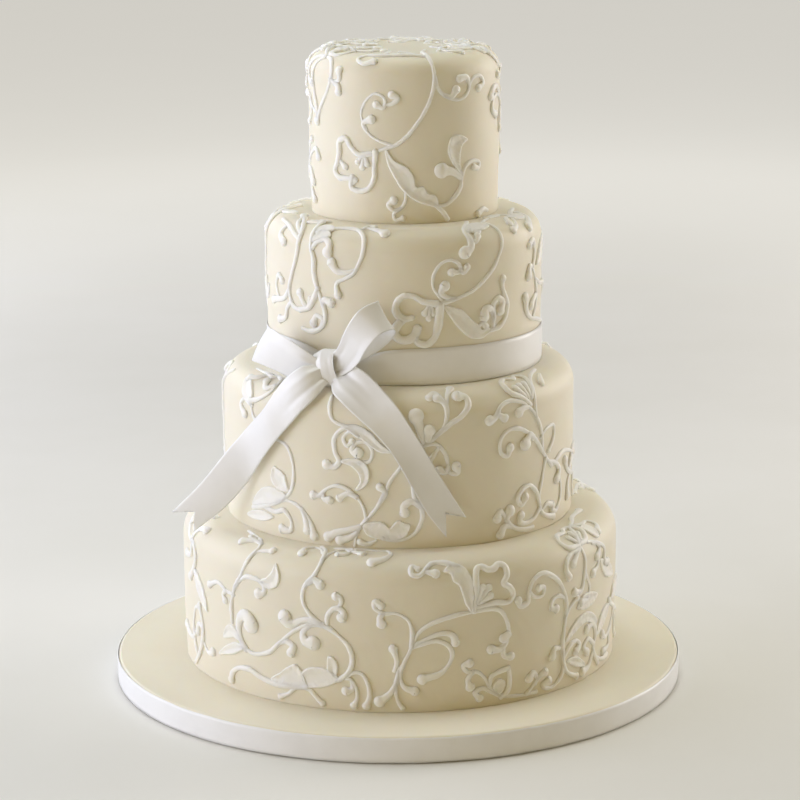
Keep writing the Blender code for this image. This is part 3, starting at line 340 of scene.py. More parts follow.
SPRAYS["second_left_three"] = [
    stem(1.6, (-88, 102), (-78, 96), (-71.5, 88), (-71.5, 79), (-74, 70), (-78, 60), (-80.5, 51),
        (-77, 43), (-70, 41), (-63, 43.5), (-61.5, 49)),
    bud(2.6, 1.5, (-64, 43), (-67.5, 46), (-70.5, 51)),
    stem(1.5, (-72, 84), (-79, 87), (-90, 91), (-104, 93)),
    bud(2.4, 1.6, (-80, 53), (-86, 46), (-93, 44), (-102, 42)),
    bud(2.6, 1.6, (-78, 45), (-83, 40), (-85, 34), (-92, 31)),
    bud(2.4, 1.6, (-74, 88), (-82, 94), (-88, 100), (-98, 105)),
    leaf((-76, 96), (-59, 104), [(-72, 101), (-66, 104)], [(-72, 97), (-66, 99)]),
    bud(2.6, 1.5, (-90, 91), (-92, 84), (-87, 79)),
    bud(2.2, 1.5, (-93, 44), (-97, 52), (-93, 59), (-88, 57)),
]
SPRAYS["second_right"] = [
    bud(2.8, 1.6, (124, 24), (108, 28), (96, 31), (89.5, 36), (87, 45)),
    bud(3.0, 1.6, (100, 31), (104.5, 40), (104, 50), (99.5, 60), (93, 63.5), (90, 58)),
    bud(2.6, 1.5, (104.5, 44), (99, 42), (95.5, 39)),
    bud(2.4, 1.5, (103, 54), (112, 50), (124, 48)),
    leaf((104, 62), (126, 78), [(110, 70), (118, 76)], [(112, 64), (120, 69)]),
    bud(2.4, 1.5, (98, 62), (101, 72), (97, 79), (92, 77)),
]
SPRAYS["second_ledge"] = [
    bud(2.4, 1.6, (130, 104), (112, 104), (98, 101), (84, 98), (79, 93)),
    bud(3.2, 1.6, (112, 104), (110, 94), (103, 90), (97, 87)),
    bud(2.4, 1.5, (98, 101), (92, 108), (84, 110), (76, 108)),
    leaf((86, 99), (107, 95), [(92, 95), (99, 93)], [(93, 100), (100, 99.5)]),
    bud(2.4, 1.4, (88, 95), (84, 90), (78, 87)),
]
SPRAYS["third_front"] = [
    stem(1.4, (-42.5, 92), (-42, 84), (-39.5, 77.5), (-33, 74.5), (-26, 74), (-18, 71)),
    bud(2.9, 1.6, (-29, 74.3), (-35, 71.5), (-38.8, 66), (-38.5, 58), (-36, 52.5), (-39, 48.5),
        (-44, 48.5)),
    leaf((-33, 74), (-4, 59), [(-26, 75), (-18, 71.5), (-11, 64)], [(-27, 70.5), (-20, 66),
        (-12, 60.5)]),
    bud(1.9, 1.5, (-24, 68.5), (-29, 71), (-33, 67), (-30.5, 62.5), (-27, 64.5)),
    leaf((-36.5, 53), (-26, 35), [(-30, 51.5), (-25, 48), (-22.5, 42)], [(-26, 54.5), (-20, 51.5),
        (-18, 45), (-20.5, 39)]),
    bud(3.2, 1.5, (-24, 52.5), (-17.5, 54), (-16, 60), (-20, 65), (-26.5, 63.5), (-28, 58.5),
        (-25, 57)),
]
SPRAYS["third_front_low"] = [
    bud(2.5, 1.3, (-20, 17), (-21.5, 25), (-26, 32), (-32, 36.5), (-39, 37.5), (-45, 34.5),
        (-49, 30), (-53, 29)),
    bud(2.4, 1.2, (-46.7, 32.5), (-46.5, 28.5), (-43, 27)),
    bud(2.3, 1.6, (-25.5, 31.5), (-31, 33.5), (-36.5, 31)),
    bud(1.2, 1.3, (-20, 17), (-13, 26), (-8.5, 35), (-4, 44), (1, 51), (4, 58)),
    bud(2.4, 1.4, (-11, 29.5), (-8, 35.5), (-10.2, 39)),
    stem(1.3, (-19, 19), (-23, 14), (-26, 8), (-27, 1)),
    bud(3.0, 1.8, (-23.5, 13.3), (-31, 11), (-38, 9), (-44, 6)),
    bud(2.9, 2.0, (-25.5, 9.5), (-31, 5.5), (-36, 2.6)),
    leaf((-22.5, 14.5), (6.5, 15.5), [(-15, 16), (-9, 15.5), (-6, 12.5), (-1, 17), (4, 15.5)],
        [(-19, 9), (-11, 7), (-2, 6), (4, 9)]),
    stem(1.5, (-10, 7), (-2, 5.5), (6, 7.5), (11, 12), (13.5, 19), (12.5, 26), (9, 31), (8, 38)),
    bud(2.8, 1.9, (12.8, 26), (7, 29.5), (2, 26.5), (1.5, 22.5)),
    bud(1.9, 1.3, (-14, 5), (-19, 2.8), (-24, 3.4)),
]
SPRAYS["third_left"] = [
    stem(1.5, (-104, 14), (-90, 18), (-78, 23), (-70, 30), (-67, 40), (-68, 51), (-72, 58),
        (-80, 60.5), (-90, 58)),
    leaf((-71, 30), (-83, 44), [(-75, 40)], [(-80, 31), (-84.5, 36)]),
    leaf((-105, 15.5), (-72, 27), [(-98, 24), (-90, 29), (-81, 29.5)], [(-93, 19), (-82, 21.5)]),
    bud(2.8, 1.4, (-80, 22), (-72, 24), (-64, 22), (-59.5, 16), (-57.5, 8)),
    bud(2.8, 1.6, (-61.5, 20.5), (-56, 13.5), (-53, 5)),
    bud(2.8, 1.6, (-92, 16.5), (-82, 15.5), (-75, 17.5), (-70, 12), (-70.5, 5.5), (-77, 4.3)),
    leaf((-112, 8), (-84, 12), [(-103, 12), (-93, 13.5)], [(-102, 7.5), (-92, 8.5)]),
]
SPRAYS["third_left_up"] = [
    bud(2.6, 1.5, (-128, 106), (-110, 107), (-96, 104), (-87.5, 98), (-87, 90), (-94, 84),
        (-104, 80)),
    bud(2.6, 1.5, (-87.2, 93), (-94, 90), (-99, 94)),
    bud(2.8, 1.5, (-104, 106), (-108, 97), (-116, 93)),
    bud(2.2, 1.4, (-95, 104), (-99, 100), (-104, 100.5)),
    leaf((-120, 94), (-101, 77), [(-111, 91), (-104, 85)], [(-116, 86), (-109, 80)]),
    bud(2.6, 1.5, (-110, 82), (-116, 76), (-112, 70)),
    bud(2.4, 1.5, (-104, 80), (-101, 71), (-95, 67)),
]
SPRAYS["third_middle"] = [
    bud(2.9, 1.4, (13, 62.5), (21, 67.5), (26, 73), (28.5, 81), (28, 88), (24.5, 92.5)),
    bud(2.3, 1.3, (28.3, 87), (31, 94), (34, 99)),
    bud(2.2, 1.4, (27, 90), (22, 95.5), (18, 93)),
    bud(3.4, 1.6, (20.5, 67.5), (30, 75), (38, 80), (42.5, 86), (42, 91.5), (37.5, 93.5)),
    bud(4.2, 1.5, (15, 64), (12.5, 73), (10, 81)),
    bud(3.4, 1.6, (17, 66), (17.5, 72)),
    bud(2.7, 1.5, (14, 63.5), (22, 63.5), (27, 58), (29, 51), (30, 46), (35.5, 45.5),
        (35.5, 49.5)),
    bud(2.5, 1.3, (29.3, 50), (27.5, 45.5), (23.5, 46.5)),
    bud(1.8, 1.3, (24, 62), (20, 57), (17.5, 53)),
]
SPRAYS["third_right"] = [
    bud(2.6, 1.7, (110, 38), (100, 48), (92, 58), (84, 64), (76, 67.5), (68, 66.5), (63.5, 61),
        (64, 54), (69, 51.5), (72, 55.5)),
    bud(3.8, 1.8, (90, 59.5), (86, 62), (81.5, 58)),
    bud(2.5, 1.4, (100, 48), (98.5, 60), (93.5, 71), (87, 78), (80, 82.5), (72, 84.5), (65, 83),
        (61.5, 78.5), (65.5, 74)),
    bud(2.9, 1.3, (62.3, 80), (60, 75.5), (56.5, 73.5)),
    bud(2.9, 1.4, (86, 79), (81, 79.5), (77, 78)),
    stem(1.7, (88, 80), (80, 86), (73.5, 90), (72.5, 97), (79, 102), (85, 99.5), (90, 103),
        (95, 99), (93, 91), (89, 84)),
    bud(2.0, 1.4, (87, 84), (84, 93)),
    bud(2.0, 1.4, (85, 85), (79, 92)),
    bud(1.9, 1.4, (88.5, 85), (89, 93.5)),
    stem(1.5, (93, 72), (91.5, 82), (95, 92), (104, 99), (118, 106)),
    bud(2.2, 1.4, (112, 97), (107, 94), (104, 91)),
    bud(1.7, 1.5, (97.5, 58), (104, 62.5), (112, 62.5), (111.5, 55), (106, 48)),
    bud(2.3, 1.5, (103, 45), (100, 33), (97.5, 23), (98, 14), (104, 8), (114, 5)),
    bud(2.4, 1.6, (97.5, 17), (94, 25), (88, 30), (81, 29), (77.5, 24), (80.5, 19.5), (85, 22.5)),
    bud(2.6, 1.5, (98, 14), (92, 8.5), (84, 7), (78.5, 9), (79, 13)),
    bud(2.9, 1.5, (107, 41), (116, 38), (121, 33), (119, 27)),
    bud(2.2, 1.5, (121, 31), (124.5, 22), (123, 13), (117, 7.5), (111, 9.5)),
    bud(2.6, 1.4, (100, 11), (106, 15), (112, 14)),
    bud(2.4, 1.5, (112, 38), (126, 43), (142, 40), (158, 35)),
]
SPRAYS["third_right_foot"] = [
    bud(3.3, 1.5, (92, 3.2), (84, 3.2), (75, 6), (70, 9.5), (68, 13), (69.5, 18)),
    bud(2.7, 1.5, (73, 7), (67, 8.5), (63, 4.5)),
    bud(2.7, 1.4, (69.5, 10.5), (66.5, 15.5), (63, 18), (60.5, 14.5)),
]
SPRAYS["third_far_right"] = [
    bud(2.8, 1.6, (165, 18), (150, 24), (137, 29), (131, 36)),
    bud(2.8, 1.6, (146, 26), (138, 19), (137, 12)),
    bud(2.6, 1.5, (156, 22), (158, 12), (166, 7)),
    leaf((140, 29), (164, 41), [(146, 37), (154, 41)], [(149, 31), (157, 34)]),
]
SPRAYS["base_left"] = [
    stem(1.5, (-128, 113), (-115, 105.5), (-103, 100.5), (-97.5, 94), (-100, 84), (-105, 74),
        (-111, 64), (-114, 54), (-114, 43)),
    stem(1.6, (-110.5, 65), (-105.5, 70.5), (-100, 74), (-93.5, 74.3), (-87, 73)),
    leaf((-89, 73.5), (-78.5, 86), [(-83, 76.5), (-80, 80)], [(-83, 70.5), (-77, 72.5),
        (-75.2, 79)]),
    bud(3.1, 1.5, (-90, 73.5), (-86, 70.5), (-85.8, 66), (-89.5, 63.8)),
    bud(2.4, 1.6, (-111.5, 60.5), (-119, 61.5), (-127, 64.5), (-137, 61)),
    bud(2.2, 1.4, (-119, 61.5), (-122, 58.5), (-121, 54.5)),
    bud(2.7, 1.6, (-98, 97), (-105, 98.5), (-110, 97), (-114.5, 95)),
    bud(2.4, 1.5, (-99, 86), (-95.5, 91), (-90.5, 92.5), (-85.5, 93.5)),
    bud(1.9, 1.3, (-108, 103), (-110, 99.5), (-115, 101.5)),
]
SPRAYS["base_scroll"] = [
    stem(1.6, (-106, 30), (-97, 27), (-89, 28), (-82, 31), (-77, 36), (-71, 41.5), (-65, 46.5),
        (-58, 50.5), (-51, 52.5), (-44, 51.5), (-37, 47), (-31, 41), (-28.5, 34), (-29.5, 27),
        (-33, 22), (-38, 18.5)),
    bud(5.0, 2.4, (-102, 28), (-106.5, 34), (-107.8, 41), (-105.5, 47.5), (-101, 50.5),
        (-97, 49.5), (-94.5, 46.5)),
    leaf((-104, 32), (-123, 31), [(-112, 40), (-119, 38.5)], [(-112, 34), (-118, 32.5)]),
    leaf((-103, 29), (-129, 19), [(-112, 29.5), (-121, 25)], [(-112, 24), (-121, 21)]),
    bud(4.1, 2.0, (-48, 52.8), (-55, 54.5), (-61, 53), (-66, 50.5), (-70.5, 50.2), (-73, 52.8)),
    bud(4.1, 2.0, (-46, 52.3), (-52, 51.8), (-57, 49.5), (-59.5, 44.5), (-57.5, 39.8),
        (-53, 38.4)),
    bud(2.7, 1.5, (-76, 37), (-70, 38.8), (-65.2, 36.5), (-66, 32)),
    bud(1.4, 1.5, (-45, 51.8), (-52, 56), (-57, 61.5), (-59, 68), (-57.5, 75), (-52, 81.5),
        (-49.5, 88), (-49, 96), (-52, 104), (-57, 112)),
    bud(2.8, 1.8, (-55.5, 77.5), (-51.5, 80), (-47, 78.5)),
    bud(2.2, 1.5, (-49, 92), (-45.5, 100), (-40, 107), (-33, 112)),
    bud(2.9, 1.6, (-43.5, 52), (-43.6, 57.5), (-40.6, 62), (-35.8, 63.3), (-32.4, 60.5),
        (-33, 57.5)),
    bud(2.5, 1.5, (-36.5, 63.5), (-34.5, 67.5), (-35, 71), (-37.5, 72)),
    bud(2.4, 1.6, (-32, 22), (-27, 24.5), (-22.5, 23.5), (-19.5, 18), (-18.5, 10), (-20, 3.8)),
    bud(2.1, 1.4, (-34, 20.5), (-29.5, 20), (-26.5, 14.5), (-26, 8), (-27.5, 3.6)),
    bud(2.6, 1.4, (-29.3, 19.5), (-28.5, 13.5), (-32, 11.3)),
    leaf((-36, 19.5), (-58, 12.5), [(-40, 23), (-48, 25), (-56, 24), (-60.5, 19.5)],
        [(-46, 14.5)]),
    leaf((-57, 12.5), (-83, 13.5), [(-61, 22), (-65, 25), (-71, 22), (-76, 18)], [(-70, 11.5)]),
    leaf((-39, 20), (-43.5, 33.5), [(-38, 27), (-40.5, 32.5)], [(-43, 25)]),
    bud(2.5, 1.9, (-57, 12.5), (-70, 11), (-84, 11.5), (-92, 13.6), (-98.5, 15.7), (-104, 15.8),
        (-110.5, 14), (-115.5, 10.3), (-117.5, 6)),
    bud(1.8, 1.6, (-60, 12.1), (-65.5, 10.3), (-70.5, 6.2), (-76, 3.4)),
    bud(1.9, 1.6, (-60, 12.1), (-55.5, 10.7), (-51.5, 7), (-47.5, 3.4)),
]
SPRAYS["base_middle"] = [
    bud(2.5, 1.4, (-3.5, 26), (-2, 32), (-4, 40)),
    bud(3.2, 1.5, (-1, 28), (-2, 20), (-6, 12), (-12, 6.5)),
    bud(1.6, 1.5, (-1, 26), (-3, 16), (-1.5, 7), (1, 3)),
    bud(2.7, 1.5, (7, 44), (6, 39), (2, 31), (0, 24), (2, 16), (8, 12.5)),
    bud(2.3, 1.4, (6.5, 40), (7, 50), (4.5, 57.5), (-2, 61.5), (-9, 61.5), (-14.5, 64.5),
        (-14, 69), (-10.5, 67.5)),
    bud(2.7, 1.3, (-10, 61.5), (-12.5, 59), (-12.5, 55)),
    stem(1.4, (6.5, 41), (11, 49.5), (18, 54.5), (27, 57.5), (36, 59.5), (45, 60.5)),
    bud(2.8, 1.6, (43, 60.3), (53, 61), (61, 59), (65.5, 52), (67, 45), (65, 38.5), (61, 34.5),
        (55.5, 34)),
    bud(2.8, 1.6, (67, 44), (63.5, 41.5)),
    bud(2.5, 1.4, (63.5, 36.5), (63.5, 30), (68, 28)),
    bud(2.5, 1.5, (8, 42), (16, 46), (24, 48.5), (31, 47.5), (34, 43)),
    bud(3.0, 1.6, (7, 40.5), (15, 43), (22, 44), (28.5, 41), (31, 35), (28.5, 28.5), (23, 23.5),
        (13, 20.5)),
    leaf((42.5, 60), (26, 86), [(39.5, 66), (37, 73), (35, 78), (32, 80.5), (30, 85)], [(43.5, 70),
        (42.5, 80), (38.5, 87), (32, 90)]),
    bud(1.8, 1.8, (36, 88.5), (27, 91.5), (20, 91.5), (15.5, 87.5), (11.5, 84), (7, 85), (7.5, 90),
        (11, 89)),
    bud(2.6, 1.3, (19, 91), (15.5, 86.5), (20.5, 83.5)),
    stem(2.1, (44, 60.5), (45.5, 70), (45, 80), (47, 86), (50.5, 86.8), (53.5, 84.8), (57.5, 84.8),
        (61, 87), (65, 85.5), (65.5, 80), (63, 75.5), (67, 72.5), (69.5, 68), (67, 63.8),
        (57, 64.3), (46.5, 63)),
    bud(2.1, 1.5, (46.5, 65.5), (49.5, 74.5)),
    bud(2.1, 1.5, (46.5, 65.5), (53.5, 74)),
    bud(2.0, 1.5, (47, 65), (54.5, 69)),
]
SPRAYS["base_heart"] = [
    bud(2.5, 1.4, (88, 3.2), (75, 3.4), (66, 4.5), (60, 6), (55, 12), (51.5, 18), (46.5, 22.5),
        (40, 23.5), (37.5, 28), (41, 30)),
    bud(2.7, 1.5, (44, 23), (40, 18.5), (40.5, 13.5)),
    bud(2.4, 1.4, (63, 5), (55, 9.5), (49.5, 12), (45, 9.5), (47, 5.5)),
    stem(1.6, (62, 4.5), (66.5, 8), (68, 15), (67, 22.5)),
    stem(1.6, (54.5, 13), (55.5, 18.5), (61, 21), (67, 22.5)),
    leaf((59, 7), (65, 14.5), [(57, 12.5), (61, 16)], [(62.5, 8.5)]),
    bud(2.6, 1.4, (80, 3.3), (85, 7.5), (88, 12), (84.5, 16.5), (81, 14)),
    bud(2.4, 1.4, (87, 8), (89.5, 13), (94, 15.5)),
]
SPRAYS["base_right"] = [
    bud(2.4, 1.7, (110, 20), (109, 30), (111, 42), (112, 52), (110, 61), (105, 69), (98, 74.5),
        (91, 77), (84.5, 74), (81, 67), (80, 61), (74, 59.5), (72, 62.5)),
    bud(2.2, 1.3, (81.5, 67), (85, 63.5), (91, 63.5), (92, 68.5), (88.5, 69.5)),
    bud(2.6, 1.6, (111, 57), (105, 60), (99.5, 58.5), (98, 53.5), (102, 51)),
    bud(2.6, 1.4, (109, 29), (106, 27), (101.5, 27.5), (99, 23.5)),
    bud(2.3, 1.6, (109.5, 24), (110.5, 16), (115, 9), (124, 4.5)),
    bud(2.6, 1.5, (110.5, 16), (109, 9), (101, 3.5), (95, 4.5), (93, 7), (97, 9.5)),
    bud(2.2, 1.6, (111, 45), (116, 51), (122, 55)),
    leaf((111, 29), (148, 28), [(118, 37.5), (127, 42), (137, 41.5), (145, 36)], [(120, 33.5),
        (129, 37), (137, 36), (143, 32)]),
    bud(2.5, 1.7, (110.5, 20), (116, 26), (122.5, 27.5), (126.5, 24), (123.5, 20)),
    leaf((113, 17), (134, 8), [(120, 17.5), (128, 14)], [(119, 13.5), (126, 10.5)]),
]
SPRAYS["base_vine"] = [
    bud(2.4, 1.7, (136, 98), (130, 90), (126, 84), (119, 83.5), (112.5, 80), (111, 74.5),
        (113.5, 69)),
    bud(2.5, 1.5, (126, 84), (121.5, 80.5), (118, 77)),
    stem(1.8, (127, 86), (117, 87), (114, 92), (118, 97.5), (126, 98), (131, 101.5), (139, 100),
        (142, 94), (138, 88), (130, 87)),
    bud(1.9, 1.4, (129, 87), (124, 93)),
    bud(1.9, 1.4, (131, 88), (130, 95.5)),
    bud(1.9, 1.4, (133, 88), (136, 93.5)),
    bud(2.7, 1.8, (128, 86), (131, 76), (130, 66), (126, 58), (119.5, 57.5)),
    bud(2.7, 1.6, (131, 68), (136.5, 59), (134, 51), (127, 49.5)),
    leaf((122, 48), (148, 51), [(129, 54), (138, 54)], [(130, 46), (139, 47)]),
    bud(2.8, 1.7, (143, 84), (151, 82), (158, 77), (157, 69), (163, 65.5)),
    bud(2.6, 1.5, (138, 86), (146, 84), (150, 79), (147, 74)),
    bud(2.4, 1.6, (136, 100), (150, 104), (166, 109), (184, 112)),
    bud(2.6, 1.6, (143.5, 101), (152, 98), (160, 98), (163.5, 92), (159, 87.5)),
    leaf((144, 96), (155, 85), [(150, 96), (155, 91)], [(147, 90), (151, 86)]),
    bud(2.8, 1.6, (150, 81), (148, 70), (141, 65)),
    leaf((150, 72), (178, 55), [(156, 63), (166, 57)], [(159, 69), (169, 64)]),
]
SPRAYS["base_right_low"] = [
    bud(2.8, 1.8, (152, 5), (144, 16), (146, 26), (142, 33), (134, 33)),
    bud(2.6, 1.6, (144, 20), (136, 25), (131, 21), (134, 16)),
    bud(2.8, 1.6, (144, 16), (138, 7), (131, 4.5)),
    leaf((146, 24), (170, 39), [(152, 33), (160, 38)], [(155, 27), (163, 32)]),
    bud(2.4, 1.5, (148, 10), (158, 6), (168, 5)),
]
SPRAYS["base_far_right"] = [
    bud(2.8, 1.7, (200, 26), (184, 33), (170, 39.5)),
    bud(2.8, 1.7, (186, 32), (178, 24), (166, 18), (157, 22)),
    bud(2.6, 1.6, (172, 20), (172, 11), (160, 10)),
    bud(2.6, 1.6, (190, 30), (190, 18), (198, 10)),
    leaf((174, 40), (203, 48), [(182, 47), (192, 50)], [(184, 40), (194, 43)]),
]
SPRAYS["base_far_left"] = [
    bud(2.8, 1.8, (-196, 96), (-184, 88), (-172, 82), (-162, 80), (-157, 74), (-160, 66),
        (-168, 58)),
    bud(2.8, 1.6, (-164, 80.5), (-167, 72), (-174, 70)),
    leaf((-160, 66), (-141, 42), [(-150, 60), (-143, 50)], [(-156, 56), (-149, 48)]),
    bud(2.6, 1.6, (-184, 88), (-181, 98), (-173, 103)),
    bud(2.6, 1.6, (-168, 81), (-163, 90), (-154, 92)),
]
SPRAYS["base_far_left_low"] = [
    bud(2.4, 1.8, (-164, 4), (-155, 13), (-149.5, 23), (-149, 33), (-153, 43)),
    bud(1.8, 1.5, (-160, 8), (-165, 19), (-165, 31), (-160, 40), (-154, 42)),
    bud(2.6, 1.5, (-149.3, 30), (-156, 31), (-159, 26)),
    bud(2.8, 1.7, (-164, 22), (-172, 18), (-186, 22)),
    bud(2.6, 1.5, (-150, 22), (-143, 16), (-136, 17)),
]
SMALL_SPRAYS["base_ledge"] = [
    bud(2.7, 1.5, (-51, 98.5), (-55, 104), (-61, 106.5), (-66, 102), (-66, 95.8)),
    bud(3.0, 1.6, (-16, 114.5), (-8, 109), (-6, 101.5), (-10, 95.5), (-17, 92)),
    bud(2.6, 1.5, (-47, 114), (-40, 110), (-33, 104.5), (-25, 101)),
    bud(2.4, 1.5, (-33, 104.5), (-35, 99), (-40, 97)),
    bud(2.2, 1.4, (-17, 113), (-26, 110.5), (-31, 112.5)),
]
SMALL_SPRAYS["third_far_left"] = [
    stem(1.6, (-146, 92), (-155, 86), (-163, 76), (-168, 64), (-170, 50), (-167, 38), (-162, 28)),
    bud(2.6, 1.5, (-157, 84), (-163, 90), (-170, 92), (-174, 88)),
    bud(2.6, 1.5, (-168, 64), (-175, 66), (-180, 61), (-177, 55)),
    bud(2.4, 1.5, (-170, 48), (-176, 42), (-181, 43)),
    bud(2.4, 1.5, (-166, 36), (-172, 30), (-178, 31)),
    bud(2.6, 1.5, (-162, 28), (-158, 22), (-161, 16)),
]
SMALL_SPRAYS["top_crown"] = [
    stem(1.5, (0, 114), (14, 118), (30, 117), (46, 112), (61, 114)),
    bud(2.6, 1.5, (8, 117), (17, 123), (29, 127), (40, 124), (36, 119)),
    bud(2.7, 1.5, (40, 114.5), (48, 107), (43, 101), (33, 101), (34, 106.5)),
    bud(2.5, 1.5, (52, 112.5), (60, 119), (69, 123), (73, 118.5)),
    leaf((14, 117), (36, 107), [(20, 110.5), (28, 107)], [(23, 115.5), (31, 112)]),
    bud(2.4, 1.4, (4, 114), (6, 107), (12, 103)),
    bud(2.4, 1.4, (24, 126), (30, 133), (42, 134), (48, 129)),
]

# The same sprays piped again away from the front, by the degrees they are turned to the
# right: first those that stand for CAD nodes, then the others.
BACK = [
    ("top_left", 240), ("second_left_two", 205), ("third_left", 200), ("third_middle", 185),
    ("base_left", 203), ("base_right", 160),
]
TURNED = [
    ("top_right", 36), ("top_left_low", 216), ("top_left_low", 266), ("top_left_low", 300),
    ("top_left", 310), ("second_right", 35), ("second_left", 156), ("second_front", 182),
    ("second_upper", 176), ("second_left_two", 280), ("second_left_three", 325),
    ("third_left", 150), ("third_left_up", 175), ("third_left_up", 206), ("third_front_low", 206),
    ("third_right", 186), ("third_right_foot", 186), ("base_heart", 80), ("base_left", 152),
    ("base_heart", 116), ("base_far_left_low", 242), ("base_middle", 232), ("base_heart", 170),
    ("top_crown", 32), ("top_crown", 92), ("top_crown", 152), ("top_crown", 212),
    ("top_crown", 270),
]

# The two edges of the bow's ribbon, in pairs of points from the knot outwards.
LOOP_LEFT = [
    ((-45, -86, 218), (-44, -85, 207)),
    ((-55, -84, 225), (-57, -80, 204)),
    ((-66, -76, 230.5), (-70, -70, 208)),
    ((-74, -64, 233), (-82, -60, 211)),
    ((-77, -57.5, 232), (-87, -52, 211.5)),
    ((-73, -57, 229), (-83, -50, 212)),
    ((-61, -67.5, 225.5), (-68, -62, 210)),
    ((-50, -78, 220), (-54, -74, 208.5)),
    ((-42, -79, 217), (-43, -78, 210)),
]
LOOP_RIGHT = [
    ((-43, -84, 219), (-36, -89.5, 208.5)),
    ((-35.3, -89.5, 225.8), (-28.5, -93, 212.5)),
    ((-31.8, -93.5, 234), (-22.5, -98, 219)),
    ((-28.4, -97, 241.5), (-18, -102.5, 227.5)),
    ((-22.4, -99, 250.4), (-9.5, -104, 237.5)),
    ((-16.6, -97.5, 254), (-4, -101.5, 239.5)),
    ((-10.5, -94, 255.5), (-0.6, -97, 238.5)),
    ((-14, -88.5, 252), (-2.6, -91, 232)),
    ((-24, -87.5, 240), (-13.2, -90, 223)),
    ((-33, -86, 228), (-27, -88.5, 216)),
    ((-40, -80, 218), (-36, -80.5, 211)),
]
TAIL_LEFT = [
    ((-44, -84, 217), (-38, -86, 207)),
    ((-50, -87, 216), (-42, -92, 204)),
    ((-55.2, -88, 215.6), (-48.1, -97, 198)),
    ((-64.2, -86, 209.1), (-57.1, -96, 189)),
    ((-71.6, -81.5, 199.5), (-64.5, -91, 179.5)),
    ((-79, -79, 188), (-71.8, -86, 170)),
    ((-88.6, -68, 175), (-81.2, -77, 155.5)),
    ((-103.2, -62.4, 157.1), (-89.5, -66.5, 140.3)),
    ((-119.8, -56.1, 135.6), (-103.5, -60, 122.8)),
    ((-137.7, -49.8, 116.3), (-124.5, -53, 104.5)),
]
TAIL_RIGHT = [
    ((-33, -88, 215), (-40, -87, 205)),
    ((-27, -91.5, 216.5), (-38.5, -93, 204.5)),
    ((-22.6, -95, 215.8), (-37.5, -98.5, 201.6)),
    ((-15.6, -99.5, 211.8), (-32.7, -104.5, 197.4)),
    ((-6.9, -106, 203.6), (-21.6, -111, 188)),
    ((1.8, -111.5, 194), (-15.8, -113, 183.2)),
    ((10.5, -112.5, 180.2), (-4.1, -115, 170.1)),
    ((25.1, -110.5, 154.2), (9.2, -117, 147.8)),
    ((33.5, -108, 139.5), (17.6, -115.5, 132.5)),
    ((40.8, -105.5, 127.2), (28.8, -112, 117)),
]
# Strips of the bow: name, edges, camber, folds, how it is held, whether its end is notched.
STRIPS = [
    ("bow_loop_left", LOOP_LEFT, 0.8, [(0.3, 1.6, 0.5), (0.7, -1.2, 0.4)], "folded"),
    ("bow_loop_right", LOOP_RIGHT, 0.8, [(0.25, 0.9, 0.3), (0.75, 1.3, 0.35)], "folded"),
    ("bow_tail_left", TAIL_LEFT, 1.0, [(0.3, 1.5, 0.3), (0.65, -1.6, 0.35)], "hung", True),
    ("bow_tail_right", TAIL_RIGHT, 1.0, [(0.35, 1.5, 0.3), (0.7, -1.6, 0.35)], "hung", True),
]


def box_in_mm(node):
    """The low and high corners of a CAD node's box."""
    low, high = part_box(node)
    return np.array(low) / MM, np.array(high) / MM


def tier_frame(node):
    """A tier's shape, and where its CAD box puts it."""
    low, high = box_in_mm(f"tier_{node}")
    tier = dict(TIER_SHAPES[node])
    tier["x"] = (low[0] + high[0]) / 2
    tier["radius"] = (high[0] - low[0]) / 2
    tier["foot_radius"] = tier["radius"] - tier["drawn_in"]
    tier["foot"] = low[2] - GAP
    tier["wall"] = high[2] - tier["foot"] - tier["rounding"]
    tier["shoulder"] = tier["rounding"] * math.pi / 2
    return tier


def on_tier(tier, u, v):
    """Points at (u, v) on a tier and the outward normals there, as two arrays."""
    wall = tier["wall"]
    rounding = tier["rounding"]
    share = np.clip(v / wall, 0, 1)
    angle = np.clip((v - wall) / rounding, 0, math.pi / 2)
    past = np.maximum(v - wall - tier["shoulder"], 0)
    bulge = tier["foot_radius"] + tier["drawn_in"] * np.sin(share * math.pi / 2)
    over = tier["radius"] - rounding + rounding * np.cos(angle) - past
    radius = np.where(v <= wall, bulge, over)
    height = tier["foot"] + np.where(v <= wall, v, wall + rounding * np.sin(angle))
    turn = u / tier["radius"]
    ahead = np.stack([np.sin(turn), -np.cos(turn), np.zeros_like(turn)], axis=-1)
    points = ahead * radius[:, None] + np.stack([0 * v + tier["x"], 0 * v, height], axis=-1)
    normals = ahead * np.cos(angle)[:, None]
    normals[:, 2] = np.sin(angle)
    return points, normals


def unit(vectors):
    """The vectors, each at length 1."""
    return vectors / np.maximum(np.linalg.norm(vectors, axis=-1, keepdims=True), TINY)


def dome(share):
    """Height of a round end, from 1 where the share is 0 to 0 where it is 1."""
    return np.sqrt(np.maximum(1 - share**2, 0))


def unevenness(points, bumps, seed):
    """Smooth noise at each point, with bumps of the given height and size."""
    height, size = bumps
    shift = Vector((seed * 7.3, seed * 3.1, seed * 1.7))
    return height * np.array([noise.noise(Vector(p) / size + shift) for p in points])


def make_object(name, points, faces, material):
    """A smooth mesh object from points in millimetres."""
    mesh = bpy.data.meshes.new(name)
    mesh.from_pydata((np.asarray(points) * MM).tolist(), [], faces)
    mesh.validate()
    mesh.shade_smooth()
    mesh.materials.append(materials[material])
    obj = bpy.data.objects.new(name, mesh)
    bpy.context.collection.objects.link(obj)
    return obj


def make_piece(name, points, faces, slot, *nodes):
    """A piece of the cake, which may stand for CAD nodes."""
    obj = make_object(name, points, faces, slot)
    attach(obj, "root")
    if nodes:
        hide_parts(*nodes)
    return obj


